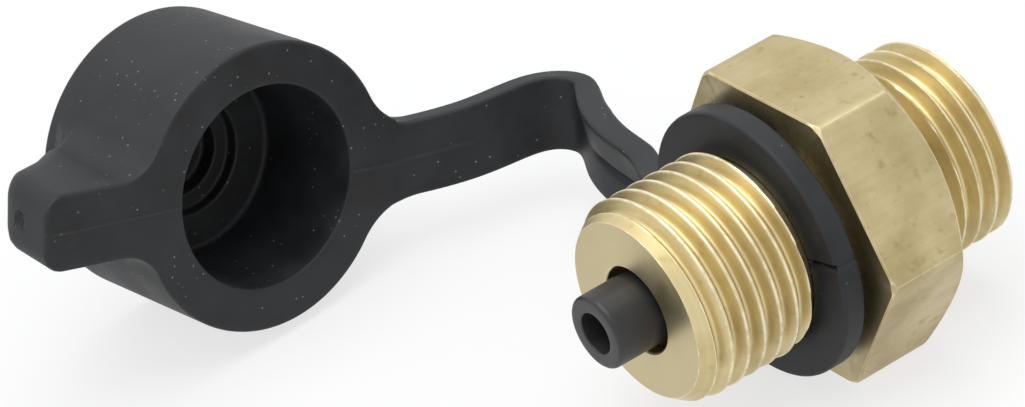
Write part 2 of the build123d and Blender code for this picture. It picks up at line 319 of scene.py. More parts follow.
@dataclass(frozen=True)
class Rubber(Finish):
    """Compression-moulded rubber: near-black and matt, its fine mould grain greyed by dust."""

    base: str = "#1E1F21"
    bloom: str = "#2C2E32"
    dust: str = "#B9B9B6"
    roughness: float = 0.56
    index: float = 1.4
    dusty: bool = True

    def specks(self, tree: bpy.types.NodeTree, place: bpy.types.NodeSocket) -> bpy.types.Node:
        """Dust specks about 0.1 mm across, in a few of the cells of a random net.

        Args:
            tree: The material's tree.
            place: Object coordinates.

        Returns:
            A node whose first output is 1 on a speck.
        """
        net = add_node(tree, "ShaderNodeTexVoronoi", {"Vector": place, "Scale": 1500.0, "Randomness": 1.0})
        size = add_node(
            tree,
            "ShaderNodeMapRange",
            {
                "Value": net.outputs["Distance"],
                "From Min": 0.03,
                "From Max": 0.15,
                "To Min": 0.5,
                "To Max": 0.0,
            },
        )
        pick = add_node(tree, "ShaderNodeSeparateColor", {0: net.outputs["Color"]})
        # dust lies in drifts a few millimetres wide
        drift = add_node(tree, "ShaderNodeTexNoise", {"Vector": place, "Scale": 180.0, "Detail": 2.0})
        share = add_node(
            tree,
            "ShaderNodeMapRange",
            {"Value": drift, "From Min": 0.42, "From Max": 0.72, "To Min": 0.03, "To Max": 1.0},
        )
        chosen = add_node(tree, "ShaderNodeMath", {0: pick.outputs[0], 1: share}, operation="LESS_THAN")
        return add_node(tree, "ShaderNodeMath", {0: size, 1: chosen}, operation="MULTIPLY")

    def dress(self, tree: bpy.types.NodeTree, shader: bpy.types.Node) -> None:
        """Mottled black, pale specks, and a fine mould grain as bump.

        Args:
            tree: The material's tree.
            shader: Its Principled shader.
        """
        place = add_node(tree, "ShaderNodeTexCoord").outputs["Object"]
        cloud = add_node(tree, "ShaderNodeTexNoise", {"Vector": place, "Scale": 260.0, "Detail": 5.0})
        mottle = add_node(tree, "ShaderNodeMapRange", {"Value": cloud, "From Min": 0.35, "From Max": 0.7})
        body = add_node(
            tree,
            "ShaderNodeMix",
            {0: mottle, 6: colour(self.base), 7: colour(self.bloom)},
            data_type="RGBA",
        )
        skin = body.outputs[2]
        if self.dusty:
            dusted = add_node(
                tree,
                "ShaderNodeMix",
                {0: self.specks(tree, place), 6: skin, 7: colour(self.dust)},
                data_type="RGBA",
            )
            skin = dusted.outputs[2]
        # mould grain, 0.12 mm
        grain = add_node(tree, "ShaderNodeTexNoise", {"Vector": place, "Scale": 8000.0, "Detail": 2.0})
        bump = add_node(tree, "ShaderNodeBump", {"Height": grain, "Strength": 0.25, "Distance": 0.00003})
        matt = add_node(
            tree,
            "ShaderNodeMapRange",
            {
                "Value": cloud,
                "From Min": 0.3,
                "From Max": 0.7,
                "To Min": self.roughness - 0.06,
                "To Max": self.roughness + 0.08,
            },
        )
        tree.links.new(skin, shader.inputs["Base Color"])
        tree.links.new(matt.outputs[0], shader.inputs["Roughness"])
        tree.links.new(bump.outputs[0], shader.inputs["Normal"])
        shader.inputs["IOR"].default_value = self.index


@dataclass(frozen=True)
class Steel(Finish):
    """Drawn or stamped spring steel: grey, with a soft shine and fine grain lines."""

    base: str = "#8C8F93"
    shade: str = "#6B6E73"
    roughness: float = 0.33

    def dress(self, tree: bpy.types.NodeTree, shader: bpy.types.Node) -> None:
        """Grey metal with faint patches and a fine grain as bump.

        Args:
            tree: The material's tree.
            shader: Its Principled shader.
        """
        place = add_node(tree, "ShaderNodeTexCoord").outputs["Object"]
        cloud = add_node(tree, "ShaderNodeTexNoise", {"Vector": place, "Scale": 700.0, "Detail": 3.0})
        body = add_node(
            tree,
            "ShaderNodeMix",
            {0: cloud.outputs[0], 6: colour(self.base), 7: colour(self.shade)},
            data_type="RGBA",
        )
        grain = add_node(tree, "ShaderNodeTexNoise", {"Vector": place, "Scale": 6000.0, "Detail": 1.0})
        bump = add_node(tree, "ShaderNodeBump", {"Height": grain, "Strength": 0.2, "Distance": 0.00002})
        tree.links.new(body.outputs[2], shader.inputs["Base Color"])
        tree.links.new(bump.outputs[0], shader.inputs["Normal"])
        shader.inputs["Metallic"].default_value = 1.0
        shader.inputs["Roughness"].default_value = self.roughness


# fresh cuts: bright, with fine rings that stretch the highlights
TURNED_BRASS = Brass("turned_brass", working=Working.TURNED)
# the bar's drawn skin is left on the flats, and is greyer and more stained than what the lathe cut
DRAWN_BRASS = Brass(
    "drawn_hexagon_brass", working=Working.DRAWN, fresh="#CBBC93", dull="#B4A47A", stained=0.6
)
CAP_RUBBER = Rubber("moulded_cap_rubber")
# oil keeps the seals blacker, smoother and free of dust
SEAL_RUBBER = Rubber("nitrile_seal_rubber", base="#1D1D1F", bloom="#27272A", roughness=0.45, dusty=False)
# turned acetal rod: a hard black plastic with a faint satin shine
ACETAL = Rubber("black_acetal", base="#252526", bloom="#303031", roughness=0.4, index=1.48, dusty=False)
SPRING_STEEL = Steel("spring_steel_wire")
# phosphate turns stamped steel dark grey and takes off most of its shine
PHOSPHATED_STEEL = Steel("phosphated_steel", base="#55585B", shade="#3C3F42", roughness=0.42)


# ---------------------------------------------------------------- meshes


def new_object(name: str, data: bpy.types.ID) -> bpy.types.Object:
    """Puts an object with the given data in the scene."""
    made = bpy.data.objects.new(name, data)
    bpy.context.scene.collection.objects.link(made)
    return made


def rounded(corners: Iterable[tuple[float, float, float]], steps: int = 3) -> np.ndarray:
    """Rounds each corner of an open outline by its own radius.

    A corner whose legs are too short gets a smaller radius, and always gives the same number of points.

    Args:
        corners: First coordinate, second coordinate and radius of each corner.
        steps: Straight pieces in each rounding.

    Returns:
        The outline's points, two columns.
    """
    given = np.array([tuple(c) for c in corners], float)
    points, radii = given[:, :2], given[:, 2]
    made = [points[0]]
    for index in range(1, len(points) - 1):
        corner = points[index]
        back, ahead = points[index - 1] - corner, points[index + 1] - corner
        back_length, ahead_length = np.hypot(*back), np.hypot(*ahead)
        if radii[index] <= 0:
            made.append(corner)
            continue
        if min(back_length, ahead_length) < 1e-7:
            made.extend([corner] * (steps + 1))
            continue
        back, ahead = back / back_length, ahead / ahead_length
        opening = math.acos(float(np.clip(back @ ahead, -1, 1)))
        tangent = radii[index] / math.tan(max(opening / 2, 1e-4))
        tangent = min(tangent, 0.48 * back_length, 0.48 * ahead_length)
        start, end = corner + back * tangent, corner + ahead * tangent
        for step in range(steps + 1):
            share = step / steps
            first = start * (1 - share) + corner * share
            second = corner * (1 - share) + end * share
            made.append(first * (1 - share) + second * share)
    made.append(points[-1])
    return np.array(made)


def spun(outline: np.ndarray, angles: np.ndarray) -> np.ndarray:
    """Turns an outline of axial place and radius about the X axis.

    Args:
        outline: Points, two columns in millimetres.
        angles: Radians from +Y towards +Z.

    Returns:
        Grid of points: angle by outline point by three.
    """
    grid = np.empty((len(angles), len(outline), 3))
    grid[:, :, 0] = outline[None, :, 0]
    grid[:, :, 1] = outline[None, :, 1] * np.cos(angles)[:, None]
    grid[:, :, 2] = outline[None, :, 1] * np.sin(angles)[:, None]
    return grid


def full_turn(count: int) -> np.ndarray:
    """Even angles round a full turn, in radians."""
    return np.arange(count) * 2 * math.pi / count


@dataclass
class Skin:
    """Grids of points, in millimetres, gathered into one mesh and welded where they meet."""

    points: list[np.ndarray] = field(default_factory=list)
    faces: list[tuple[int, ...]] = field(default_factory=list)
    count: int = 0

    def add_grid(self, grid: np.ndarray, closed: bool = True) -> None:
        """Adds a grid of quads.

        Args:
            grid: Column by row by three.
            closed: True if the last column joins the first.
        """
        columns, rows = grid.shape[:2]
        self.points.append(grid.reshape(-1, 3))
        for column in range(columns if closed else columns - 1):
            here = self.count + column * rows
            there = self.count + (column + 1) % columns * rows
            for row in range(rows - 1):
                self.faces.append((here + row, here + row + 1, there + row + 1, there + row))
        self.count += columns * rows

    def add_mesh(self, mesh: bpy.types.Mesh) -> None:
        """Adds a mesh in metres, and removes it.

        Args:
            mesh: Mesh that is no longer needed.
        """
        place = np.empty(len(mesh.vertices) * 3, np.float32)
        mesh.vertices.foreach_get("co", place)
        self.points.append(place.reshape(-1, 3) / MM)
        for polygon in mesh.polygons:
            self.faces.append(tuple(self.count + v for v in polygon.vertices))
        self.count += len(mesh.vertices)
        bpy.data.meshes.remove(mesh)

    def mesh(self, name: str, weld: float = WELD, seam: float = 0.0) -> bpy.types.Mesh:
        """Welds what was gathered.

        Args:
            name: Name of the mesh.
            weld: Points closer than this, in millimetres, become one.
            seam: The same for points on a rim that is still open after that.

        Returns:
            A closed mesh in metres, its faces outward.
        """
        made = bpy.data.meshes.new(name)
        made.from_pydata((np.concatenate(self.points) * MM).tolist(), [], self.faces)
        work = bmesh.new()
        work.from_mesh(made)
        bmesh.ops.remove_doubles(work, verts=work.verts, dist=weld * MM)
        rim = list({v for e in work.edges if len(e.link_faces) == 1 for v in e.verts})
        bmesh.ops.remove_doubles(work, verts=rim, dist=seam * MM)
        bmesh.ops.dissolve_degenerate(work, dist=weld * MM / 4, edges=work.edges)
        bmesh.ops.recalc_face_normals(work, faces=work.faces)
        work.to_mesh(made)
        work.free()
        open_edges = count_open_edges(made)
        if open_edges:
            LOG.warning("%s has %d open edges", name, open_edges)
        return made


def count_open_edges(mesh: bpy.types.Mesh) -> int:
    """How many edges of a mesh don't have two faces.

    Args:
        mesh: Mesh to look through.

    Returns:
        Their number.
    """
    work = bmesh.new()
    work.from_mesh(mesh)
    count = sum(1 for e in work.edges if len(e.link_faces) != 2)
    work.free()
    return count


def mark_edges(mesh: bpy.types.Mesh, soft: float = 7.0, sharp: float = 26.0) -> None:
    """Writes how convex each point is, from 0 to 1, in the attribute "edge".

    Args:
        mesh: Mesh to mark.
        soft: Degrees between faces up to which a point counts as flat.
        sharp: Degrees from which it counts as a full edge.
    """
    work = bmesh.new()
    work.from_mesh(mesh)
    most = np.zeros(len(work.verts))
    for edge in work.edges:
        if len(edge.link_faces) == 2:
            bend = math.degrees(edge.calc_face_angle_signed(0.0))
            for vert in edge.verts:
                most[vert.index] = max(most[vert.index], bend)
    work.free()
    level = np.clip((most - soft) / (sharp - soft), 0, 1).astype(np.float32)
    attribute = mesh.attributes.new("edge", "FLOAT", "POINT")
    attribute.data.foreach_set("value", level)


def weighted(mesh: bpy.types.Mesh) -> bpy.types.Mesh:
    """Smooths a mesh with normals that follow its larger faces, so that flats stay flat.

    Args:
        mesh: Mesh to shade; it is replaced.

    Returns:
        The shaded mesh.
    """
    mesh.polygons.foreach_set("use_smooth", [True] * len(mesh.polygons))
    mesh.set_sharp_from_angle(angle=math.radians(40))
    host = new_object(mesh.name + "_host", mesh)
    modifier = host.modifiers.new("normals", "WEIGHTED_NORMAL")
    modifier.weight = 60
    modifier.keep_sharp = True
    made = evaluated_mesh(host)
    bpy.data.objects.remove(host)
    return made


def evaluated_mesh(host: bpy.types.Object) -> bpy.types.Mesh:
    """Plain mesh of an object with its modifiers, named as the object's own."""
    graph = bpy.context.evaluated_depsgraph_get()
    return bpy.data.meshes.new_from_object(host.evaluated_get(graph), depsgraph=graph)


def carved(mesh: bpy.types.Mesh, cutters: Sequence[bpy.types.Mesh]) -> bpy.types.Mesh:
    """Cuts closed shapes out of a mesh.

    Args:
        mesh: What is cut.
        cutters: What is taken away.

    Returns:
        The cut mesh.
    """
    host = new_object("carved_host", mesh)
    tools = []
    for cutter in cutters:
        tool = new_object("cutter", cutter)
        modifier = host.modifiers.new("cut", "BOOLEAN")
        modifier.operation = "DIFFERENCE"
        modifier.solver = "EXACT"
        modifier.object = tool
        tools.append(tool)
    made = evaluated_mesh(host)
    for spare in [host, *tools]:
        bpy.data.objects.remove(spare)
    return made


def rod(start: Vector, end: Vector, radius: float, count: int = 48) -> bpy.types.Mesh:
    """Closed cylinder between two points, in millimetres, for cutting.

    Args:
        start: Centre of one end.
        end: Centre of the other end.
        radius: Radius.
        count: Sides.

    Returns:
        A mesh in metres.
    """
    way = (end - start).normalized()
    turn = way.to_track_quat("X", "Z").to_matrix()
    length = (end - start).length
    outline = np.array([(0, 0), (0, radius), (length, radius), (length, 0)], float)
    grid = spun(outline, full_turn(count))
    placed = grid @ np.array(turn.transposed()) + np.array(start)
    skin = Skin()
    skin.add_grid(placed)
    return skin.mesh("rod")


@dataclass(frozen=True)
class Recipe:
    """A Geometry Nodes tree with named inputs, run once to give a plain mesh."""

    name: str
    finish: Finish

    def tree(self) -> bpy.types.NodeTree:
        """Builds the tree; each recipe has its own."""
        raise NotImplementedError

    def values(self) -> dict[str, Any]:
        """The values of the tree's named inputs."""
        raise NotImplementedError

    def open_tree(self, sockets: dict[str, str]) -> tuple[bpy.types.NodeTree, bpy.types.Node]:
        """Starts a tree.

        Args:
            sockets: Socket type of each named input but the material.

        Returns:
            The tree and its input node.
        """
        tree = bpy.data.node_groups.new(self.name, "GeometryNodeTree")
        tree.interface.new_socket(name="Geometry", in_out="OUTPUT", socket_type="NodeSocketGeometry")
        for name, kind in (sockets | {"Material": "NodeSocketMaterial"}).items():
            tree.interface.new_socket(name=name, in_out="INPUT", socket_type=kind)
        return tree, tree.nodes.new("NodeGroupInput")

    def close_tree(self, tree: bpy.types.NodeTree, shape: Any, entry: bpy.types.Node) -> None:
        """Ends a tree in real geometry with its material.

        Args:
            tree: The tree.
            shape: Node or socket with the geometry.
            entry: The tree's input node, which has the material.
        """
        real = add_node(tree, "GeometryNodeRealizeInstances", {0: shape})
        smooth = add_node(tree, "GeometryNodeSetShadeSmooth", {0: real})
        dressed = add_node(
            tree, "GeometryNodeSetMaterial", {0: smooth, "Material": entry.outputs["Material"]}
        )
        add_node(tree, "NodeGroupOutput", {0: dressed})

    def run(self, start: bpy.types.Mesh | None = None) -> bpy.types.Mesh:
        """Runs the tree on a mesh, or on nothing.

        Args:
            start: Mesh that the tree works on, if it works on one.

        Returns:
            The result as a plain mesh.
        """
        tree = self.tree()
        host = new_object(self.name, start or bpy.data.meshes.new(self.name))
        modifier = host.modifiers.new(self.name, "NODES")
        modifier.node_group = tree
        identifiers = {s.name: s.identifier for s in tree.interface.items_tree if s.in_out == "INPUT"}
        for name, value in (self.values() | {"Material": self.finish.material()}).items():
            modifier[identifiers[name]] = value
        made = evaluated_mesh(host)
        made.name = self.name
        bpy.data.objects.remove(host)
        return made


def place_piece(
    mesh: bpy.types.Mesh,
    name: str,
    body: Body,
    slot: Slot,
    finish: Finish,
    stands_for: Sequence[str] = (),
) -> bpy.types.Object:
    """Makes a finished piece of a mesh.

    Args:
        mesh: Its mesh, in the model's frame.
        name: Its name.
        body: Body that it rides on.
        slot: Material slot of the record; not used.
        finish: Its finish.
        stands_for: CAD nodes that it is shown instead of.

    Returns:
        The piece.
    """
    mesh.name = name
    mesh.materials.clear()
    mesh.materials.append(finish.material())
    piece = new_object(name, mesh)
    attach(piece, body.value)
    if stands_for:
        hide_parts(*stands_for)
    LOG.info("%s: %d faces, %s", name, len(mesh.polygons), finish.name)
    return piece


def node_box(node: str) -> tuple[Vector, Vector]:
    """Lowest and highest corners of a CAD node, in millimetres."""
    low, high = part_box(node)
    return low / MM, high / MM


# ---------------------------------------------------------------- threads


@dataclass(frozen=True)
class ThreadRecipe(Recipe):
    """Helical thread from a plain neck to the flat face of a free end, as one welded strip.

    Its rows follow the helix, so that its crests and roots stay clean lines.
    """

    neck_x: float
    face_x: float
    face_radius: float
    lead_length: float
    bore_radius: float
    crest_at: float
    columns: int = 180
    rows_per_pitch: int = 24
    face_rows: int = 14
    spare_rows: int = 4
    pitch: float = 1.5
    crest_radius: float = 7.95
    root_radius: float = 7.06
    neck_radius: float = 6.95
    crest_width: float = 0.16
    root_rounding: float = 0.32
    crest_rounding: float = 0.05
    flank_slope: float = 1 / math.tan(math.radians(30))

    def tree(self) -> bpy.types.NodeTree:
        """A flat grid whose every point is moved to its place on the thread.

        Returns:
            The tree.
        """
        floats = [
            "Pitch", "Low", "High", "First Row", "Row Span", "Crest At", "Crest Radius", "Root Radius",
            "Half Crest", "Flank Slope", "Crest Rounding", "Root Rounding", "Neck X", "Neck Radius",
            "Face X", "Face Radius", "Lead Slope", "Face From", "Face Scale", "Bore Radius",
        ]
        sockets = dict.fromkeys(floats, "NodeSocketFloat")
        sockets |= {"Columns": "NodeSocketInt", "Rows": "NodeSocketInt"}
        tree, entry = self.open_tree(sockets)
        given = entry.outputs

        grid = add_node(
            tree,
            "GeometryNodeMeshGrid",
            {"Size X": 1.0, "Size Y": 1.0, "Vertices X": given["Columns"], "Vertices Y": given["Rows"]},
        )
        where = add_node(tree, "ShaderNodeSeparateXYZ", {0: add_node(tree, "GeometryNodeInputPosition")})
        found: dict[Any, Any] = {name: given[name] for name in floats}
        found |= {"x": where.outputs[0], "y": where.outputs[1]}
        for name, operation, *terms in self.steps():
            inputs = {place: found.get(term, term) for place, term in enumerate(terms)}
            found[name] = add_node(tree, "ShaderNodeMath", inputs, operation=operation)
        found["share"].use_clamp = True
        rims = {0: found["shaped"], 2: found["radius"], 3: given["Bore Radius"]}
        inward = add_node(tree, "ShaderNodeMix", rims, data_type="FLOAT")
        sides = [
            add_node(tree, "ShaderNodeMath", {0: inward, 1: found[name]}, operation="MULTIPLY")
            for name in ("cosine", "sine")
        ]
        place = add_node(tree, "ShaderNodeCombineXYZ", {0: found["axial"], 1: sides[0], 2: sides[1]})
        bent = add_node(tree, "GeometryNodeSetPosition", {"Geometry": grid, "Position": place})
        welded = add_node(tree, "GeometryNodeMergeByDistance", {"Geometry": bent, "Distance": WELD * MM})
        self.close_tree(tree, welded, entry)
        return tree

    def steps(self) -> list[tuple[Any, ...]]:
        """The thread's arithmetic, from a point's place on the flat grid to its place on the thread.

        Returns:
            What each step is called, its operation, and its terms: earlier steps, inputs or numbers.
        """
        return [
            ("turn", "ADD", "x", 0.5),
            ("row", "ADD", "y", 0.5),
            ("climb", "MULTIPLY_ADD", "turn", "Pitch", "First Row"),
            ("reach", "MULTIPLY_ADD", "row", "Row Span", "climb"),
            ("not too low", "MAXIMUM", "reach", "Low"),
            ("axial", "MINIMUM", "not too low", "High"),
            # how far from the nearest crest, and the radius of the thread there
            ("from crest", "SUBTRACT", "axial", "Crest At"),
            ("pitches", "DIVIDE", "from crest", "Pitch"),
            ("unwound", "SUBTRACT", "pitches", "turn"),
            ("positive", "ADD", "unwound", 100.5),
            ("phase", "FRACT", "positive"),
            ("centred", "SUBTRACT", "phase", 0.5),
            ("off crest", "ABSOLUTE", "centred"),
            ("away", "MULTIPLY", "off crest", "Pitch"),
            ("past crest", "SUBTRACT", "away", "Half Crest"),
            ("drop", "MULTIPLY", "past crest", "Flank Slope"),
            ("flank", "SUBTRACT", "Crest Radius", "drop"),
            ("crest", "SMOOTH_MIN", "flank", "Crest Radius", "Crest Rounding"),
            ("thread", "SMOOTH_MAX", "crest", "Root Radius", "Root Rounding"),
            # it runs out at the neck, and leads in at the face
            ("to neck", "SUBTRACT", "axial", "Neck X"),
            ("from neck", "ABSOLUTE", "to neck"),
            ("run out", "MULTIPLY_ADD", "from neck", "Flank Slope", "Neck Radius"),
            ("to face", "SUBTRACT", "Face X", "axial"),
            ("from face", "ABSOLUTE", "to face"),
            ("lead", "MULTIPLY_ADD", "from face", "Lead Slope", "Face Radius"),
            ("lower", "MINIMUM", "thread", "run out"),
            ("radius", "MINIMUM", "lower", "lead"),
            # past the free end the rows run in across the face, closer together at both rims
            ("past", "SUBTRACT", "row", "Face From"),
            ("share", "MULTIPLY", "past", "Face Scale"),
            ("half turn", "MULTIPLY", "share", math.pi),
            ("swing", "COSINE", "half turn"),
            ("shaped", "MULTIPLY_ADD", "swing", -0.5, 0.5),
            ("angle", "MULTIPLY", "turn", 2 * math.pi),
            ("cosine", "COSINE", "angle"),
            ("sine", "SINE", "angle"),
        ]

    def values(self) -> dict[str, Any]:
        """Sizes in metres; the rows start a pitch low, because each column climbs by one.

        Returns:
            Value of each of the tree's inputs.
        """
        low, high = sorted((self.neck_x, self.face_x))
        step = self.pitch / self.rows_per_pitch
        rows = math.ceil((high - low + self.pitch) / step) + 2 * self.spare_rows + self.face_rows
        first_row = low - self.pitch - self.spare_rows * step
        face_from, face_scale = 1 - self.face_rows / rows, rows / self.face_rows
        if self.face_x < self.neck_x:
            first_row -= self.face_rows * step
            face_from, face_scale = 1 - face_from, -face_scale
        lengths = {
            "Pitch": self.pitch,
            "Low": low,
            "High": high,
            "First Row": first_row,
            "Row Span": rows * step,
            "Crest At": self.crest_at,
            "Crest Radius": self.crest_radius,
            "Root Radius": self.root_radius,
            "Half Crest": self.crest_width / 2,
            "Crest Rounding": self.crest_rounding,
            "Root Rounding": self.root_rounding,
            "Neck X": self.neck_x,
            "Neck Radius": self.neck_radius,
            "Face X": self.face_x,
            "Face Radius": self.face_radius,
            "Bore Radius": self.bore_radius,
        }
        made: dict[str, Any] = {name: value * MM for name, value in lengths.items()}
        made["Flank Slope"] = self.flank_slope
        made["Face From"] = face_from
        made["Face Scale"] = face_scale
        made["Lead Slope"] = (self.crest_radius - self.face_radius) / self.lead_length
        made["Columns"] = self.columns + 1
        made["Rows"] = rows + 1
        return made


# ---------------------------------------------------------------- valve body


@dataclass
class ValveBody:
    """One-piece brass body: a threaded core with its bores, and the spanner hexagon round it."""

    port_face_x: float = field(init=False)
    test_face_x: float = field(init=False)
    across_flats: float = field(init=False)
    hexagon_length: float = 7.7
    port_chamfer_angle: float = 38.0
    port_chamfer_inset: float = 0.10
    test_corner_radius: float = 12.25
    edge_break: float = 0.13
    corner_break: float = 0.16
    corner_blend: float = 0.1
    neck_radius: float = 6.95
    neck_end_x: float = 10.9
    port_neck_x: float = -2.3
    lead_length: float = 1.5
    test_face_radius: float = 6.9
    port_chamfer: float = 0.5
    seat_x: float = 6.0
    chamber_radius: float = 4.5
    chamber_flare: float = 0.4
    port_crest_x: float = -2.94
    test_crest_x: float = 18.79
    guide_radius: float = 2.9
    mouth_radius: float = 3.4
    mouth_depth: float = 3.0
    mouth_flare: float = 0.12
    groove_radius: float = 4.05
    groove_start_x: float = 13.2
    groove_end_x: float = 14.7
    clip_groove_radius: float = 4.9
    clip_groove_start_x: float = -6.9
    clip_groove_end_x: float = -6.05
    columns: int = 180

    def __post_init__(self) -> None:
        """Takes the overall sizes from the CAD body."""
        low, high = node_box("valve_body")
        self.port_face_x = low.x
        self.test_face_x = high.x
        self.across_flats = high.z - low.z

    def bore(self) -> np.ndarray:
        """Outline of everything bored out, from the port face to the test face.

        Returns:
            Axial place and radius, two columns.
        """
        mouth_x = self.test_face_x - self.mouth_depth
        return rounded(
            [
                (self.port_face_x, self.chamber_radius + self.chamber_flare, 0),
                (self.port_face_x + self.chamber_flare, self.chamber_radius, 0.1),
                (self.clip_groove_start_x, self.chamber_radius, 0.05),
                (self.clip_groove_start_x, self.clip_groove_radius, 0.05),
                (self.clip_groove_end_x, self.clip_groove_radius, 0.05),
                (self.clip_groove_end_x, self.chamber_radius, 0.05),
                (self.seat_x, self.chamber_radius, 0.3),
                (self.seat_x, self.guide_radius, 0.1),
                (self.groove_start_x, self.guide_radius, 0.08),
                (self.groove_start_x, self.groove_radius, 0.1),
                (self.groove_end_x, self.groove_radius, 0.1),
                (self.groove_end_x, self.guide_radius, 0.08),
                (mouth_x, self.guide_radius, 0.08),
                (mouth_x, self.mouth_radius, 0.1),
                (self.test_face_x - self.mouth_flare, self.mouth_radius, 0.05),
                (self.test_face_x, self.mouth_radius + self.mouth_flare, 0),
            ]
        )

    def core(self) -> bpy.types.Mesh:
        """Both threads, the neck between them and the bores, as one closed mesh.

        Returns:
            The mesh in metres.
        """
        port = ThreadRecipe(
            "port_thread",
            TURNED_BRASS,
            neck_x=self.port_neck_x,
            face_x=self.port_face_x,
            face_radius=ThreadRecipe.crest_radius - self.port_chamfer,
            lead_length=self.port_chamfer,
            bore_radius=self.chamber_radius + self.chamber_flare,
            crest_at=self.port_crest_x,
            columns=self.columns,
        )
        test = ThreadRecipe(
            "test_thread",
            TURNED_BRASS,
            neck_x=self.neck_end_x,
            face_x=self.test_face_x,
            face_radius=self.test_face_radius,
            lead_length=self.lead_length,
            bore_radius=self.mouth_radius + self.mouth_flare,
            crest_at=self.test_crest_x,
            columns=self.columns,
        )
        skin = Skin()
        skin.add_mesh(port.run())
        skin.add_mesh(test.run())
        neck = np.array([(self.port_neck_x, self.neck_radius), (self.neck_end_x, self.neck_radius)])
        skin.add_grid(spun(neck, full_turn(self.columns)))
        skin.add_grid(spun(self.bore(), full_turn(self.columns)))
        return skin.mesh("threaded_core")

    def hexagon_angles(self) -> np.ndarray:
        """Angles round the hexagon, closer together where its corners are rounded off.

        Returns:
            Radians, in order.
        """
        even = np.radians(np.arange(0, 360, 2.5))
        near = np.radians([-1.2, -0.8, -0.4, 0.4, 0.8, 1.2])
        corners = np.radians(np.arange(0, 360, 60))
        extra = (corners[:, None] + near[None, :]).ravel() % (2 * math.pi)
        return np.unique(np.round(np.concatenate([even, extra]), 9))

    def hexagon_radius(self, angle: float) -> float:
        """Radius of the hexagon's side, its six corners rounded off.

        Args:
            angle: Radians from a corner.

        Returns:
            Radius in millimetres.
        """
        from_flat = (angle % math.radians(60)) - math.radians(30)
        side = self.across_flats / 2 / math.cos(from_flat)
        corner = self.across_flats / math.sqrt(3) - self.corner_break
        if side < corner - 0.25:
            return side
        blend = self.corner_blend
        return -blend * math.log(math.exp(-side / blend) + math.exp(-corner / blend))

    def hexagon(self) -> bpy.types.Mesh:
        """The spanner hexagon: both ends turned off by a cone, and each edge broken.

        Returns:
            The mesh in metres.
        """
        slope = math.tan(math.radians(self.port_chamfer_angle))
        port_radius = self.across_flats / 2 - self.port_chamfer_inset
        hidden = self.neck_radius - 0.5
        columns = []
        angles = self.hexagon_angles()
        for angle in angles:
            side = self.hexagon_radius(float(angle))
            port_x = (side - port_radius) * slope
            test_radius = min(side - self.edge_break, self.test_corner_radius)
            test_x = self.hexagon_length - (side - test_radius)
            outline = [
                (0.02, hidden, 0),
                (0.0, port_radius, 0.06),
                (port_x, side, 0.12),
                (test_x, side, 0.07),
                (self.hexagon_length, test_radius, 0.07),
                (self.hexagon_length, hidden, 0),
                (0.02, hidden, 0),
            ]
            columns.append(spun(rounded(outline), np.array([angle]))[0])
        skin = Skin()
        skin.add_grid(np.array(columns))
        return skin.mesh("spanner_hexagon", weld=0.0005)

    def build(self) -> None:
        """Makes both pieces of the body."""
        core = weighted(self.core())
        mark_edges(core, soft=9.0, sharp=30.0)
        hexagon = weighted(self.hexagon())
        mark_edges(hexagon, soft=9.0, sharp=24.0)
        place_piece(core, "threaded_core", Body.FITTING, Slot.BRASS, TURNED_BRASS, ["valve_body"])
        place_piece(hexagon, "spanner_hexagon", Body.FITTING, Slot.BRASS, DRAWN_BRASS, ["valve_body"])


# ---------------------------------------------------------------- valve parts


@dataclass(frozen=True)
class SpringRecipe(Recipe):
    """Round wire wound along the X axis, its end turns closed up."""

    start_x: float
    end_x: float
    wire: float = 0.7
    mean_radius: float = 2.95
    turns: float = 4.5
    closing: float = 0.6

    def tree(self) -> bpy.types.NodeTree:
        """A spiral whose climb eases at both ends, swept by the wire's section.

        Returns:
            The tree.
        """
        floats = ["Start X", "Height", "Mean Radius", "Wire Radius", "Turns", "Closing"]
        tree, entry = self.open_tree(dict.fromkeys(floats, "NodeSocketFloat"))
        given = entry.outputs
        coil = add_node(
            tree,
            "GeometryNodeCurveSpiral",
            {
                "Resolution": 48,
                "Rotations": given["Turns"],
                "Start Radius": given["Mean Radius"],
                "End Radius": given["Mean Radius"],
                "Height": given["Height"],
            },
        )
        along = add_node(tree, "GeometryNodeSplineParameter").outputs["Factor"]
        eased = add_node(tree, "ShaderNodeMapRange", {"Value": along}, interpolation_type="SMOOTHSTEP")
        share = add_node(tree, "ShaderNodeMix", {0: given["Closing"], 2: along, 3: eased}, data_type="FLOAT")
        climb = add_node(tree, "ShaderNodeMath", {0: share, 1: given["Height"]}, operation="MULTIPLY")
        axial = add_node(tree, "ShaderNodeMath", {0: climb, 1: given["Start X"]}, operation="ADD")
        place = add_node(tree, "ShaderNodeSeparateXYZ", {0: add_node(tree, "GeometryNodeInputPosition")})
        wound = add_node(
            tree,
            "GeometryNodeSetPosition",
            {
                "Geometry": coil,
                "Position": add_node(
                    tree, "ShaderNodeCombineXYZ", {0: axial, 1: place.outputs[0], 2: place.outputs[1]}
                ),
            },
        )
        section = add_node(
            tree, "GeometryNodeCurvePrimitiveCircle", {"Resolution": 16, "Radius": given["Wire Radius"]}
        )
        swept = add_node(
            tree, "GeometryNodeCurveToMesh", {"Curve": wound, "Profile Curve": section, "Fill Caps": True}
        )
        self.close_tree(tree, swept, entry)
        return tree

    def values(self) -> dict[str, Any]:
        """Sizes in metres.

        Returns:
            Value of each of the tree's inputs.
        """
        return {
            "Start X": (self.start_x + self.wire / 2) * MM,
            "Height": (self.end_x - self.start_x - self.wire) * MM,
            "Mean Radius": self.mean_radius * MM,
            "Wire Radius": self.wire / 2 * MM,
            "Turns": self.turns,
            "Closing": self.closing,
        }


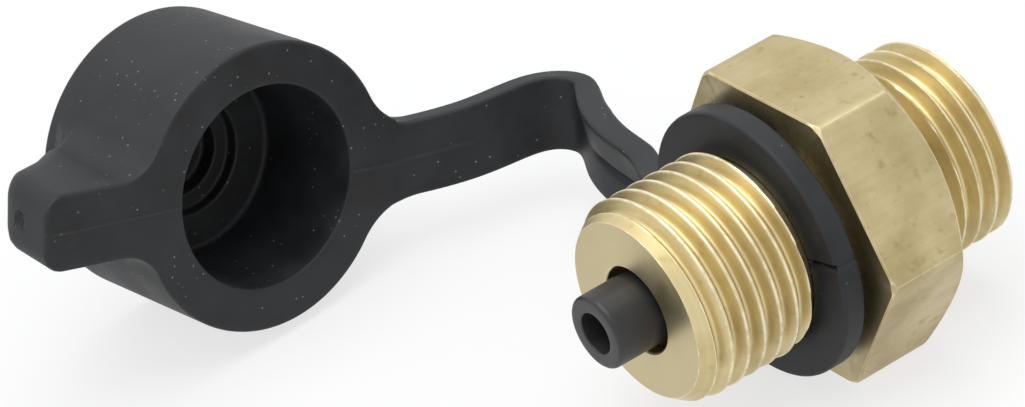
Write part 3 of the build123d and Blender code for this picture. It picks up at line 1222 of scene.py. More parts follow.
@dataclass(frozen=True)
class PlateRecipe(Recipe):
    """Round plate with a ring of holes and one in the middle."""

    start_x: float
    end_x: float
    radius: float
    hole_circle: float = 2.825
    hole_radius: float = 0.9
    centre_radius: float = 1.2
    holes: int = 6

    def tree(self) -> bpy.types.NodeTree:
        """A disc less a cylinder at each point of a circle and one at its middle.

        Returns:
            The tree.
        """
        floats = ["Middle X", "Thickness", "Radius", "Hole Circle", "Hole Radius", "Centre Radius"]
        sockets = dict.fromkeys(floats, "NodeSocketFloat") | {"Holes": "NodeSocketInt"}
        tree, entry = self.open_tree(sockets)
        given = entry.outputs
        disc = add_node(
            tree,
            "GeometryNodeMeshCylinder",
            {"Vertices": 96, "Radius": given["Radius"], "Depth": given["Thickness"]},
        )
        drill = add_node(
            tree,
            "GeometryNodeMeshCylinder",
            {"Vertices": 40, "Radius": given["Hole Radius"], "Depth": 0.004},
        )
        spots = add_node(
            tree, "GeometryNodeMeshCircle", {"Vertices": given["Holes"], "Radius": given["Hole Circle"]}
        )
        drills = add_node(tree, "GeometryNodeInstanceOnPoints", {"Points": spots, "Instance": drill})
        middle = add_node(
            tree,
            "GeometryNodeMeshCylinder",
            {"Vertices": 48, "Radius": given["Centre Radius"], "Depth": 0.004},
        )
        cutters = add_node(tree, "GeometryNodeJoinGeometry")
        ring = add_node(tree, "GeometryNodeRealizeInstances", {0: drills})
        tree.links.new(ring.outputs[0], cutters.inputs[0])
        tree.links.new(middle.outputs[0], cutters.inputs[0])
        cut = add_node(
            tree, "GeometryNodeMeshBoolean", {"Mesh 1": disc, "Mesh 2": cutters}, operation="DIFFERENCE"
        )
        shift = add_node(tree, "ShaderNodeCombineXYZ", {0: given["Middle X"]})
        turned = add_node(
            tree,
            "GeometryNodeTransform",
            {"Geometry": cut, "Translation": shift, "Rotation": (0.0, math.pi / 2, 0.0)},
        )
        self.close_tree(tree, turned, entry)
        return tree

    def values(self) -> dict[str, Any]:
        """Sizes in metres.

        Returns:
            Value of each of the tree's inputs.
        """
        return {
            "Middle X": (self.start_x + self.end_x) / 2 * MM,
            "Thickness": (self.end_x - self.start_x) * MM,
            "Radius": self.radius * MM,
            "Hole Circle": self.hole_circle * MM,
            "Hole Radius": self.hole_radius * MM,
            "Centre Radius": self.centre_radius * MM,
            "Holes": self.holes,
        }


@dataclass
class ValveInsert:
    """What is inside the body: plunger, its two seals, the spring, the plate and the circlip."""

    stem_radius: float = 2.85
    plunger_bore: float = 1.6
    flange_front_x: float = 5.1
    flange_back_x: float = 3.6
    flange_radius: float = 3.9
    spigot_radius: float = 2.1
    cross_hole_x: float = 7.4
    cross_hole_radius: float = 0.8
    bore_end_x: float = 6.6
    drill_point: float = 0.8
    ring_width: float = 1.1
    lug_radius: float = 1.0
    lug_hole: float = 0.45
    gap_half_angle: float = 25.0
    lug_half_angle: float = 34.0
    columns: int = 96

    def turned(
        self, name: str, corners: Sequence[tuple[float, float, float]], steps: int = 4
    ) -> bpy.types.Mesh:
        """A turned part from its outline.

        Args:
            name: Name of the mesh.
            corners: Axial place, radius and rounding of each corner.
            steps: Straight pieces in each rounding.

        Returns:
            The mesh, smoothly shaded.
        """
        skin = Skin()
        skin.add_grid(spun(rounded(corners, steps), full_turn(self.columns)))
        return weighted(skin.mesh(name))

    def plunger(self) -> bpy.types.Mesh:
        """Hollow stem with a rounded nose, flange, spigot and four cross holes.

        Returns:
            The mesh in metres.
        """
        low, high = node_box("plunger")
        stem, bore = self.stem_radius, self.plunger_bore
        blank = self.turned(
            "plunger",
            [
                (low.x, 0, 0),
                (low.x, self.spigot_radius, 0.25),
                (self.flange_back_x, self.spigot_radius, 0.15),
                (self.flange_back_x, self.flange_radius, 0.2),
                (self.flange_front_x, self.flange_radius, 0.2),
                (self.flange_front_x, stem, 0.1),
                (high.x, stem, 0.38),
                (high.x, bore, 0.12),
                (self.bore_end_x, bore, 0.05),
                (self.bore_end_x - self.drill_point, 0, 0),
            ],
            steps=5,
        )
        drills = []
        for index in range(4):
            angle = index * math.pi / 2
            way = Vector((0, math.cos(angle), math.sin(angle)))
            middle = Vector((self.cross_hole_x, 0, 0))
            drills.append(rod(middle + way * 0.6, middle + way * 4.5, self.cross_hole_radius))
        return carved(blank, drills)

    def circlip(self) -> bpy.types.Mesh:
        """Internal circlip: a sprung band with a drilled lug either side of its gap.

        Returns:
            The mesh in metres.
        """
        low, high = node_box("retaining_ring")
        outer = high.y
        inner = outer - self.ring_width
        lug_at = outer - self.lug_radius - 0.05
        lug_angle = math.radians(self.lug_half_angle)
        gap = math.radians(self.gap_half_angle)
        half_lug = math.asin(self.lug_radius / lug_at)
        start = lug_angle - half_lug * 0.999
        angles = np.concatenate(
            [
                np.linspace(start, lug_angle + half_lug, 41),
                np.linspace(lug_angle + half_lug, 2 * math.pi - lug_angle - half_lug, 121)[1:-1],
                np.linspace(2 * math.pi - lug_angle - half_lug, 2 * math.pi - start, 41),
            ]
        )
        columns = []
        for angle in angles:
            off = min(abs(angle - lug_angle), abs(2 * math.pi - lug_angle - angle))
            inside, outside = inner, outer
            if off < half_lug:
                reach = math.sqrt(max(self.lug_radius**2 - (lug_at * math.sin(off)) ** 2, 0))
                inside = min(inner, lug_at * math.cos(off) - reach)
                if angle < gap or angle > 2 * math.pi - gap:
                    inside, outside = lug_at * math.cos(off) - reach, lug_at * math.cos(off) + reach
            outline = rounded(
                [
                    (low.x, (inside + outside) / 2, 0),
                    (low.x, outside, 0.08),
                    (high.x, outside, 0.08),
                    (high.x, inside, 0.08),
                    (low.x, inside, 0.08),
                    (low.x, (inside + outside) / 2, 0),
                ]
            )
            columns.append(spun(outline, np.array([angle - math.pi / 2]))[0])
        grid = np.array(columns)
        ends = [np.repeat(grid[i].mean(axis=0, keepdims=True), grid.shape[1], axis=0) for i in (0, -1)]
        skin = Skin()
        skin.add_grid(np.concatenate([[ends[0]], grid, [ends[1]]]), closed=False)
        drills = []
        for side in (-1, 1):
            angle = -math.pi / 2 + side * lug_angle
            spot = Vector((0, lug_at * math.cos(angle), lug_at * math.sin(angle)))
            start_x, end_x = Vector((low.x - 1, 0, 0)), Vector((high.x + 1, 0, 0))
            drills.append(rod(spot + start_x, spot + end_x, self.lug_hole))
        return weighted(carved(skin.mesh("circlip"), drills))

    def build(self) -> None:
        """Makes every part behind the plunger's nose."""
        place_piece(self.plunger(), "push_plunger", Body.STEM, Slot.POLYMER, ACETAL, ["plunger"])
        low, high = node_box("valve_seal")
        washer = [
            (low.x, self.stem_radius, 0),
            (low.x, high.y, 0.12),
            (high.x, high.y, 0.12),
            (high.x, self.stem_radius, 0.12),
            (low.x, self.stem_radius, 0),
        ]
        mesh = self.turned("seat_washer", washer)
        place_piece(mesh, "seat_washer", Body.STEM, Slot.SEAL, SEAL_RUBBER, ["valve_seal"])
        low, high = node_box("stem_seal")
        inner = self.stem_radius + 0.03
        middle = (low.x + high.x) / 2
        oval = [
            (middle, inner, 0),
            (high.x, inner, 0.5),
            (high.x, high.y, 0.5),
            (low.x, high.y, 0.5),
            (low.x, inner, 0.5),
            (middle, inner, 0),
        ]
        mesh = self.turned("stem_o_ring", oval, steps=6)
        place_piece(mesh, "stem_o_ring", Body.FITTING, Slot.SEAL, SEAL_RUBBER, ["stem_seal"])
        low, high = node_box("spring_plate")
        mesh = weighted(PlateRecipe("perforated_plate", PHOSPHATED_STEEL, low.x, high.x, high.y).run())
        steel = (Body.FITTING, Slot.STEEL, PHOSPHATED_STEEL)
        place_piece(mesh, "perforated_plate", *steel, ["spring_plate"])
        place_piece(self.circlip(), "circlip", *steel, ["retaining_ring"])
        self.spring()

    def spring(self) -> None:
        """The return spring, as one fixed coil on no moving body."""
        low, high = node_box("return_spring")
        mesh = SpringRecipe("return_coil", SPRING_STEEL, low.x, high.x).run()
        mesh.materials.clear()
        mesh.materials.append(SPRING_STEEL.material())
        piece = new_object("return_coil", mesh)
        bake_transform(piece)
        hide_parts("return_spring")
        LOG.info("return_coil: %d faces", len(mesh.polygons))


# ---------------------------------------------------------------- dust cap


@dataclass
class Arm:
    """An arm on a round hub, in the hub's own plane, along its X axis."""

    hub: float
    root: float
    reach: float
    side: int
    halves: tuple[float, float]
    corners: tuple[float, float] = (0.0, 0.0)

    def root_centre(self, half: float) -> float:
        """How far out the centre of a root fillet is.

        Args:
            half: Distance from the arm's line to its edge on that side.

        Returns:
            Distance from the hub's centre, along the arm.
        """
        return math.sqrt((self.hub + self.root) ** 2 - (half + self.root) ** 2)

    def root_angle(self, half: float) -> float:
        """Angle from the arm's line to where a root fillet meets the hub."""
        return math.atan2(half + self.root, self.root_centre(half))

    def half_width(self, reach: float) -> float:
        """Half the arm's width at a distance from the hub's centre.

        Args:
            reach: Distance from the centre.

        Returns:
            Half width, wider within the root.
        """
        half = self.halves[0]
        short = max(self.root_centre(half) - reach, 0.0)
        return half + self.root - math.sqrt(max(self.root**2 - short**2, 0.0))

    def edge(self, half: float, corner: float) -> tuple[np.ndarray, np.ndarray]:
        """One edge of the arm, from the hub to its end, on the side where Y is negative.

        Args:
            half: Distance from the arm's line to this edge.
            corner: Radius at the arm's end.

        Returns:
            The points and their inward normals.
        """
        root_x = self.root_centre(half)
        centre = np.array([root_x, -(half + self.root)])
        start = math.atan2(-centre[1], -centre[0])
        cut = math.asin(min(max((root_x - self.reach) / self.root, 0.0), 1.0))
        turns = np.linspace(start, math.pi / 2 + cut, 16)
        points = [centre + self.root * np.stack([np.cos(turns), np.sin(turns)], 1)]
        inward = [np.stack([np.cos(turns), np.sin(turns)], 1)]
        inward[0][-1] = (0.0, 1.0)
        if self.reach > root_x:
            along = np.linspace(root_x, self.reach - corner, 10)[1:]
            points.append(np.stack([along, np.full_like(along, -half)], 1))
            inward.append(np.tile([0.0, 1.0], (len(along), 1)))
        if corner:
            turns = np.linspace(-math.pi / 2, 0, 9)[1:]
            middle = np.array([self.reach - corner, corner - half])
            points.append(middle + corner * np.stack([np.cos(turns), np.sin(turns)], 1))
            inward.append(-np.stack([np.cos(turns), np.sin(turns)], 1))
        return np.concatenate(points), np.concatenate(inward)

    def outline(self, shares: np.ndarray) -> tuple[np.ndarray, np.ndarray]:
        """Points round the arm, counter-clockwise as seen from the front.

        Args:
            shares: Places across the arm's end, from -1 at one edge to 1 at the other.

        Returns:
            The points and their inward normals.
        """
        near, near_in = self.edge(self.halves[0], self.corners[0])
        far, far_in = self.edge(self.halves[1], self.corners[1])
        low, high = near[-1, 1], -far[-1, 1]
        across = low + (high - low) * (shares + 1) / 2
        tip = np.stack([np.full_like(across, self.reach), across], 1)
        tip_in = np.tile([-1.0, 0.0], (len(tip), 1))
        flip = np.array([1.0, -1.0])
        points = np.concatenate([near, tip, far[::-1] * flip])
        inward = np.concatenate([near_in, tip_in, far_in[::-1] * flip])
        return points * self.side, inward * self.side


@dataclass(frozen=True)
class StrapRecipe(Recipe):
    """Lays a flat strip along a route, its width held between two given directions."""

    route: bpy.types.Object
    length: float
    thickness: float
    near_width: Vector
    far_width: Vector

    def tree(self) -> bpy.types.NodeTree:
        """Each point goes to its place along the route, off to the side and out from the middle.

        Returns:
            The tree.
        """
        tree, entry = self.open_tree(
            {
                "Strip": "NodeSocketGeometry",
                "Route": "NodeSocketObject",
                "Length": "NodeSocketFloat",
                "Half Thickness": "NodeSocketFloat",
                "Near Width": "NodeSocketVector",
                "Far Width": "NodeSocketVector",
            }
        )
        given = entry.outputs
        line = add_node(
            tree, "GeometryNodeObjectInfo", {"Object": given["Route"]}, transform_space="RELATIVE"
        )
        flat = add_node(tree, "ShaderNodeSeparateXYZ", {0: add_node(tree, "GeometryNodeInputPosition")})
        share = add_node(
            tree,
            "ShaderNodeMath",
            {0: flat.outputs[0], 1: given["Length"]},
            operation="DIVIDE",
            use_clamp=True,
        )
        spot = add_node(
            tree,
            "GeometryNodeSampleCurve",
            {"Curves": line.outputs["Geometry"], "Factor": share},
            mode="FACTOR",
        )
        way = spot.outputs["Tangent"]
        eased = add_node(
            tree,
            "ShaderNodeMix",
            {0: share, 4: given["Near Width"], 5: given["Far Width"]},
            data_type="VECTOR",
        ).outputs[1]
        lean = add_node(tree, "ShaderNodeVectorMath", {0: eased, 1: way}, operation="DOT_PRODUCT")
        part = add_node(
            tree, "ShaderNodeVectorMath", {0: way, "Scale": lean.outputs["Value"]}, operation="SCALE"
        )
        square = add_node(tree, "ShaderNodeVectorMath", {0: eased, 1: part}, operation="SUBTRACT")
        width = add_node(tree, "ShaderNodeVectorMath", {0: square}, operation="NORMALIZE")
        front = add_node(tree, "ShaderNodeVectorMath", {0: way, 1: width}, operation="CROSS_PRODUCT")
        rise = add_node(
            tree, "ShaderNodeMath", {0: flat.outputs[2], 1: given["Half Thickness"]}, operation="ADD"
        )
        sideways = {0: width, "Scale": flat.outputs[1]}
        aside = add_node(tree, "ShaderNodeVectorMath", sideways, operation="SCALE")
        out = add_node(tree, "ShaderNodeVectorMath", {0: front, "Scale": rise}, operation="SCALE")
        moved = add_node(
            tree, "ShaderNodeVectorMath", {0: spot.outputs["Position"], 1: aside}, operation="ADD"
        )
        place = add_node(tree, "ShaderNodeVectorMath", {0: moved, 1: out}, operation="ADD")
        bent = add_node(tree, "GeometryNodeSetPosition", {"Geometry": given["Strip"], "Position": place})
        self.close_tree(tree, bent, entry)
        return tree

    def values(self) -> dict[str, Any]:
        """Sizes in metres.

        Returns:
            Value of each of the tree's inputs.
        """
        return {
            "Route": self.route,
            "Length": self.length * MM,
            "Half Thickness": self.thickness / 2 * MM,
            "Near Width": tuple(self.near_width),
            "Far Width": tuple(self.far_width),
        }


@dataclass
class DustCap:
    """The cap's one rubber moulding: cup, pull tab, strap and neck ring, welded into one skin."""

    thickness: float = 1.9
    half_band: float = 2.95
    edge: float = 0.3
    # cup, outside and inside
    cup_radius: float = 11.2
    cup_draft: float = 0.2
    cup_height: float = 13.39
    wall_end: float = 12.6
    end_rounding: float = 0.55
    panel_radius: float = 5.9
    panel_depth: float = 0.3
    pip_radius: float = 0.9
    pip_height: float = 0.15
    clearance: float = 0.012
    bore_radius: float = 7.85
    bore_draft: float = 0.3
    bore_depth: float = 10.0
    lip: float = 0.25
    recess_radius: float = 4.6
    recess_depth: float = 11.0
    well_radius: float = 3.3
    well_depth: float = 12.4
    # pull tab, with the gate's dimple in its end
    tab_reach: float = 20.2
    tab_depth: float = 6.5
    tab_rise: float = 3.75
    tab_shear: float = 0.1
    tab_halves: tuple[float, float] = (2.4, 3.45)
    tab_root: float = 3.7
    tab_corners: tuple[float, float] = (1.7, 1.6)
    tab_back_corners: tuple[float, float] = (0.15, 1.1)
    tab_back_edge: float = 2.2
    tab_back_fillet: float = 1.6
    gusset_rows: int = 8
    gusset_end: float = 12.2
    least_turn: float = 0.001
    tab_line_slope: float = 0.022
    dimple_at: tuple[float, float] = (0.1, -3.4)
    dimple_halves: tuple[float, float] = (0.85, 0.55)
    dimple_depth: float = 0.38
    dimple_lip: float = 0.05
    strap_root: float = 5.5
    strap_cut: float = 12.2
    # neck ring, slit on the side away from the strap
    ring_radius: float = 10.5
    ring_bore: float = 7.03
    ring_root: float = 3.4
    ring_cut: float = 10.8
    ring_face_x: float = 10.6
    ring_strap_angle: float = 192.7
    slit_width: float = 1.4
    slit_depth: float = 0.5
    slit_nick: float = 0.16
    slit_step: float = 0.09
    rim_width: float = 0.35
    front_skin: float = 0.05
    # how the cup lies beside the body
    hexagon_corner: float = 12.702
    cap_yaw: float = 4.9
    cap_pitch: float = 4.6
    cap_roll: float = 19.0
    mouth_ahead_of_ring: float = 19.75
    mouth_beyond_hexagon: float = 21.0
    side_rows: int = 14
    stations: int = 150
    # strap: its hollow front, its crease in the bend, and its parting line
    gutter: float = 0.5
    gutter_fade: float = 9.0
    crease: float = 0.28
    bend_at: float = 13.0
    bend_swell: float = 0.2
    ridge: float = 0.1
    lead_out: float = 1.2
    # points that draw the strap's line: ahead of the ring, beyond the hexagon's corner, above the axis
    line: tuple[tuple[float, float, float], ...] = (
        (-2.5, 2.3, -3.2),
        (-2.5, 7.8, -3.35),
        (-4.6, 13.7, -3.9),
        (-7.6, 17.3, -4.4),
        (-4.2, 20.6, -3.7),
        (2.1, 20.4, -3.7),
    )

    def across(self, half: float) -> np.ndarray:
        """Places across a band's face, closer together at the parting line in its middle.

        Args:
            half: Half the band's width.

        Returns:
            Places from the middle, from one side to the other.
        """
        flat = half - self.edge
        outer = np.linspace(0.45, 1, 6) * flat
        inner = np.array([0.0, 0.1, 0.22, 0.4, 0.7, 1.0])
        half_row = np.concatenate([inner, outer[outer > 1.01]])
        return np.concatenate([-half_row[:0:-1], half_row])

    def edge_rows(self, depth: float, back: float) -> np.ndarray:
        """Rows down a moulded edge: inset and height, from its front face to its back face.

        Args:
            depth: Thickness there.
            back: Radius of the back edge.

        Returns:
            Two columns: inset from the side and height below the front.
        """
        turns = np.linspace(0, math.pi / 2, 4)
        front = np.stack([self.edge * (1 - np.sin(turns)), -self.edge * (1 - np.cos(turns))], 1)
        heights = np.linspace(-self.edge, -depth + back, self.side_rows + 2)[1:-1]
        side = np.stack([np.zeros_like(heights), heights], 1)
        turns = np.linspace(0, math.pi / 2, 6)
        rear = np.stack([back * (1 - np.cos(turns)), -depth + back * (1 - np.sin(turns))], 1)
        return np.concatenate([front, side, rear])

    def cap_matrix(self) -> Matrix:
        """The cup's own plane: Z out of its mouth, and X along the pull tab.

        Returns:
            From the cup's frame to the model's, in millimetres.
        """
        yaw, pitch, roll = (math.radians(a) for a in (self.cap_yaw, self.cap_pitch, self.cap_roll))
        out = Vector((-math.sin(yaw) * math.cos(pitch), math.cos(yaw) * math.cos(pitch), math.sin(pitch)))
        level = Vector((math.cos(yaw), math.sin(yaw), 0))
        upright = level.cross(out)
        way = (level * math.cos(roll) + upright * math.sin(roll)).normalized()
        end_radius = self.cup_radius - self.cup_draft
        drop = end_radius * math.cos(pitch) + (self.cup_height - 0.4) * math.sin(pitch) + self.clearance
        low, _ = node_box("valve_body")
        centre = self.beside(self.mouth_ahead_of_ring, self.mouth_beyond_hexagon, drop + low.z)
        return Matrix.Translation(centre) @ Matrix([way, out.cross(way), out]).transposed().to_4x4()

    def ring_matrix(self) -> Matrix:
        """The neck ring's own plane: Z to the test end, and X along the strap.

        Returns:
            From the ring's frame to the model's, in millimetres.
        """
        angle = math.radians(self.ring_strap_angle)
        way = Vector((0, math.cos(angle), math.sin(angle)))
        out = Vector((1, 0, 0))
        place = Matrix.Translation(Vector((self.ring_face_x, 0, 0)))
        return place @ Matrix([way, out.cross(way), out]).transposed().to_4x4()

    def beside(self, ahead: float, beyond: float, above: float) -> Vector:
        """Point placed from the ring's middle, the hexagon's corner and the body's axis."""
        return Vector((self.ring_face_x - self.thickness / 2 + ahead, -self.hexagon_corner - beyond, above))

    def ramp(self, place: float, zero: float, one: float) -> float:
        """How far a place has come on the way from zero to one, from 0 to 1."""
        return min(max((place - zero) / (one - zero), 0.0), 1.0)

    def parting(self, places: np.ndarray, height: float) -> np.ndarray:
        """Height of the parting line's fine ridge at places across the moulding."""
        return height * np.clip(1 - np.abs(places) / 0.2, 0, 1)

    def moved(self, grid: np.ndarray, matrix: Matrix) -> np.ndarray:
        """A grid in a plane of its own, moved to the model's frame."""
        turn, shift = np.array(matrix.to_3x3()), np.array(matrix.translation)
        return grid @ turn.T + shift

    def ring_arm(self) -> Arm:
        """The strap's root on the ring."""
        return Arm(self.ring_radius, self.ring_root, self.ring_cut, 1, (self.half_band, self.half_band))

    def cup_arm(self) -> Arm:
        """The strap's root on the cup."""
        return Arm(self.cup_radius, self.strap_root, self.strap_cut, -1, (self.half_band, self.half_band))

    def ring_outline(self) -> tuple[np.ndarray, np.ndarray, np.ndarray]:
        """Outline of the ring and the strap's root.

        Returns:
            Points, inward normals, and which of them are the strap's open end.
        """
        arm = self.ring_arm()
        half = arm.half_width(self.ring_cut)
        points, inward = arm.outline(self.across(half)[1:-1] / half)
        start = arm.root_angle(self.half_band)
        mark = math.pi
        arc = np.linspace(start, 2 * math.pi - start, 150)[1:-1]
        extra = mark + np.radians([-1.6, -1.0, -0.5, 0.0, 0.5, 1.0, 1.6])
        arc = np.unique(np.concatenate([arc[np.abs(arc - mark) > math.radians(2)], extra]))
        circle = np.stack([np.cos(arc), np.sin(arc)], 1)
        everything = np.concatenate([points, circle * self.ring_radius])
        inwards = np.concatenate([inward, -circle])
        tip = np.abs(everything[:, 0] - self.ring_cut) < 1e-6
        return everything, inwards, tip

    def ring(self, skin: Skin) -> None:
        """Flat ring with rounded edges, open where the strap leaves it.

        Args:
            skin: Skin that it goes to.
        """
        points, inward, tip = self.ring_outline()
        rows = self.edge_rows(self.thickness, self.edge)
        angles = np.arctan2(points[:, 1], points[:, 0])
        columns = []
        corner = np.nonzero(tip)[0]
        for index, (point, normal, angle) in enumerate(zip(points, inward, angles)):
            ray = np.array([math.cos(angle), math.sin(angle)])
            bore = [(0.0, -self.thickness / 2), (0.0, -0.2), (0.06, -0.06), (0.2, 0.0), (1.5, 0.0)]
            front = [(*(ray * (self.ring_bore + out)), z) for out, z in bore]
            back = [(x, y, -self.thickness - z) for x, y, z in front][::-1]
            is_tip = tip[index] and corner[0] < index < corner[-1]
            outer = []
            for inset, height in rows:
                place = point if is_tip else point + normal * inset
                if is_tip:
                    height = 0.0 if height > -self.thickness / 2 else -self.thickness
                outer.append((place[0], place[1], height))
            columns.append(front + outer + back)
        grid = np.array(columns)
        far_side = grid[:, :, 0] < 0
        notch = self.parting(grid[:, :, 1] / self.slit_width, 1.0) * far_side
        radial = grid[:, :, :2] / np.linalg.norm(grid[:, :, :2], axis=2, keepdims=True)
        rim = np.linalg.norm(grid[:, :, :2], axis=2) > self.ring_radius - self.rim_width
        grid[:, :, :2] -= radial * (notch * rim * self.slit_nick)[:, :, None]
        step = far_side * rim * np.clip(-grid[:, :, 1] / 0.3, 0, 1) * np.clip(3 + grid[:, :, 1], 0, 1)
        grid[:, :, :2] -= radial * (step * self.slit_step)[:, :, None]
        grid[:, :, 2] -= notch * (grid[:, :, 2] > -self.front_skin) * self.slit_depth
        self.add_open_grid(skin, self.moved(grid, self.ring_matrix()), tip, len(front), len(rows))

    def add_open_grid(self, skin: Skin, grid: np.ndarray, tip: np.ndarray, first: int, count: int) -> None:
        """Adds a hub's grid without the faces across its strap's open end.

        Args:
            skin: Skin that it goes to.
            grid: Column by row by three.
            tip: Which columns are at the open end.
            first: Row at which the side starts.
            count: Rows down the side.
        """
        columns, rows = grid.shape[:2]
        skin.points.append(grid.reshape(-1, 3))
        for column in range(columns):
            following = (column + 1) % columns
            here, there = skin.count + column * rows, skin.count + following * rows
            across_tip = tip[column] and tip[following]
            for row in range(rows - 1):
                if across_tip and first <= row < first + count - 1:
                    continue
                skin.faces.append((here + row, here + row + 1, there + row + 1, there + row))
        skin.count += columns * rows

    def cup_outline(self) -> tuple[np.ndarray, np.ndarray, np.ndarray, np.ndarray]:
        """Outline of the mouth's face, with the tab and the strap's root.

        Returns:
            Points, inward normals, depths, and which are the strap's open end.
        """
        tab = Arm(self.cup_radius, self.tab_root, self.tab_reach, 1, self.tab_halves, self.tab_corners)
        back = self.tab_back_edge
        narrow = (self.tab_halves[0] - back, self.tab_halves[1] - back)
        behind = Arm(self.cup_radius, self.tab_root, self.tab_reach - back, 1, narrow, self.tab_back_corners)
        shares = np.linspace(-1, 1, 43)[1:-1]
        tab_points = tab.outline(shares)[0]
        tab_in = (behind.outline(shares)[0] - tab_points) / back
        strap = self.cup_arm()
        half = strap.half_width(self.strap_cut)
        strap_points, strap_in = strap.outline(self.across(half)[1:-1] / half)
        web = strap.root_angle(self.half_band)
        ends = [tab.root_angle(half) for half in self.tab_halves]
        upper = np.linspace(ends[1], math.pi - web, 60)[1:-1]
        lower = np.linspace(math.pi + web, 2 * math.pi - ends[0], 60)[1:-1]
        circles = [np.stack([np.cos(a), np.sin(a)], 1) for a in (upper, lower)]
        rims = [circle * self.cup_radius for circle in circles]
        points = np.concatenate([tab_points, rims[0], strap_points, rims[1]])
        inward = np.concatenate([tab_in, -circles[0], strap_in, -circles[1]])
        depth = np.full(len(points), self.thickness)
        from_tip = np.clip((self.tab_reach - tab_points[:, 0]) / (self.tab_reach - self.cup_radius), 0, 1)
        depth[: len(tab_points)] = self.tab_depth + self.tab_rise * from_tip
        tip = np.abs(points[:, 0] + self.strap_cut) < 1e-6
        return points, inward, depth, tip

    def cup_inside(self) -> np.ndarray:
        """Outline inside the cup, from its middle out to the mouth.

        Returns:
            Radius and height, two columns.
        """
        inside = rounded(
            [
                (0, -self.well_depth, 0),
                (self.well_radius, -self.well_depth, 0.4),
                (self.well_radius, -self.recess_depth, 0.25),
                (self.recess_radius, -self.recess_depth, 0.3),
                (self.recess_radius, -self.bore_depth, 0.3),
                (self.bore_radius - self.bore_draft, -self.bore_depth, 0.5),
                (self.bore_radius, -self.lip, 0),
            ],
            steps=4,
        )
        turns = np.linspace(0, math.pi / 2, 5)[1:]
        lip = np.stack([self.bore_radius + self.lip * (1 - np.cos(turns)), self.lip * (np.sin(turns) - 1)], 1)
        return np.concatenate([inside, lip])

    def cup_outside(self, top: float) -> np.ndarray:
        """Outline of the cup's wall and closed end, from below the mouth to the middle.

        Args:
            top: Height at which it starts.

        Returns:
            Radius and height, two columns.
        """
        end = self.cup_radius - self.cup_draft
        panel_x, panel_z = self.panel_radius, -self.cup_height + self.panel_depth
        wall = [(self.wall_radius(z), z) for z in np.linspace(top, -self.wall_end, 5)]
        corner = rounded(
            [
                (end + 0.01, -self.wall_end, 0),
                (end, -self.cup_height, self.end_rounding),
                (panel_x + self.panel_depth, -self.cup_height, self.panel_depth),
                (panel_x, panel_z, self.panel_depth),
                (self.pip_radius + 0.3, panel_z, 0.1),
                (self.pip_radius, panel_z - self.pip_height, 0.1),
                (0, panel_z - self.pip_height, 0),
            ],
            steps=4,
        )
        return np.concatenate([wall, corner[1:]])

    def cup(self, skin: Skin) -> None:
        """Cup, pull tab and the strap's web, open where the strap leaves it.

        Args:
            skin: Skin that it goes to.
        """
        points, inward, depths, tip = self.cup_outline()
        corner = np.nonzero(tip)[0]
        inside = self.cup_inside()
        angles = np.arctan2(points[:, 1], points[:, 0])
        columns = []
        turn = -math.pi
        for index in range(len(points)):
            point, normal, depth = points[index], inward[index], depths[index]
            ray = np.array([math.cos(angles[index]), math.sin(angles[index])])
            ledge = max(float(point @ ray) - self.cup_radius, 0.0)
            is_tab = depth > self.thickness
            back = min(self.tab_back_edge if is_tab else self.edge, 0.45 * ledge)
            from_tip = np.abs(index - corner).min() if len(corner) else 99
            is_tip = tip[index] and corner[0] < index < corner[-1]
            column = [(*(ray * r), z) for r, z in inside]
            hold = self.edge * (1 + 1.5 * min(from_tip / 8, 1.0))
            column.append((*(ray * (self.bore_radius + 0.7)), 0.0))
            inner = point if is_tip else point + normal * hold
            column.append((inner[0], inner[1], 0.0))
            for inset, height in self.edge_rows(depth, back):
                place = point if is_tip else point + normal * inset
                if is_tip:
                    height = 0.0 if height > -depth / 2 else -depth
                shear = self.tab_shear * height * min(ledge / 3, 1.0) if is_tab else 0.0
                draft = self.wall_radius(height) / self.cup_radius if is_tab or ledge == 0 else 1.0
                column.append((place[0] * draft, (place[1] + shear) * draft, height))
            # below the tab the columns fan back onto the wall, each a little past the last
            foot = ray
            if is_tab:
                turn = max(math.atan2(column[-1][1], column[-1][0]), turn + self.least_turn)
                foot = np.array([math.cos(turn), math.sin(turn)])
                column += self.gusset(column[-1], foot)
            else:
                column += self.wall_fillet(ray, depth, min(0.55, 0.45 * ledge))
            column += [(*(foot * r), z) for r, z in self.cup_outside(column[-1][2] - 0.02)]
            columns.append(column)
        grid = np.array(columns)
        self.dimple(grid)
        front = (grid[:, :, 2] > -self.front_skin) & (np.abs(grid[:, :, 0]) > self.bore_radius)
        line = grid[:, :, 1] - self.tab_line_slope * np.maximum(grid[:, :, 0], 0.0)
        grid[:, :, 2] += self.parting(line, self.ridge) * front
        first = len(inside) + 2
        rows = len(self.edge_rows(self.tab_depth, self.tab_back_edge))
        self.add_open_grid(skin, self.moved(grid, self.cap_matrix()), tip, first, rows)

    def wall_radius(self, height: float) -> float:
        """Radius of the cup's tapered wall at a height below its mouth."""
        return self.cup_radius + self.cup_draft * height / self.cup_height

    def wall_fillet(self, ray: np.ndarray, depth: float, fillet: float) -> list[tuple[float, float, float]]:
        """Rows that round the corner between a rim's back and the cup's wall.

        Args:
            ray: Way out from the cup's axis.
            depth: Depth of the rim there.
            fillet: Radius of the rounding.

        Returns:
            Points in the cup's frame.
        """
        rows = []
        for turn in np.linspace(0, math.pi / 2, self.gusset_rows):
            height = -depth - fillet * (1 - math.cos(turn))
            radius = self.wall_radius(height) + fillet * (1 - math.sin(turn))
            rows.append((*(ray * radius), height))
        return rows

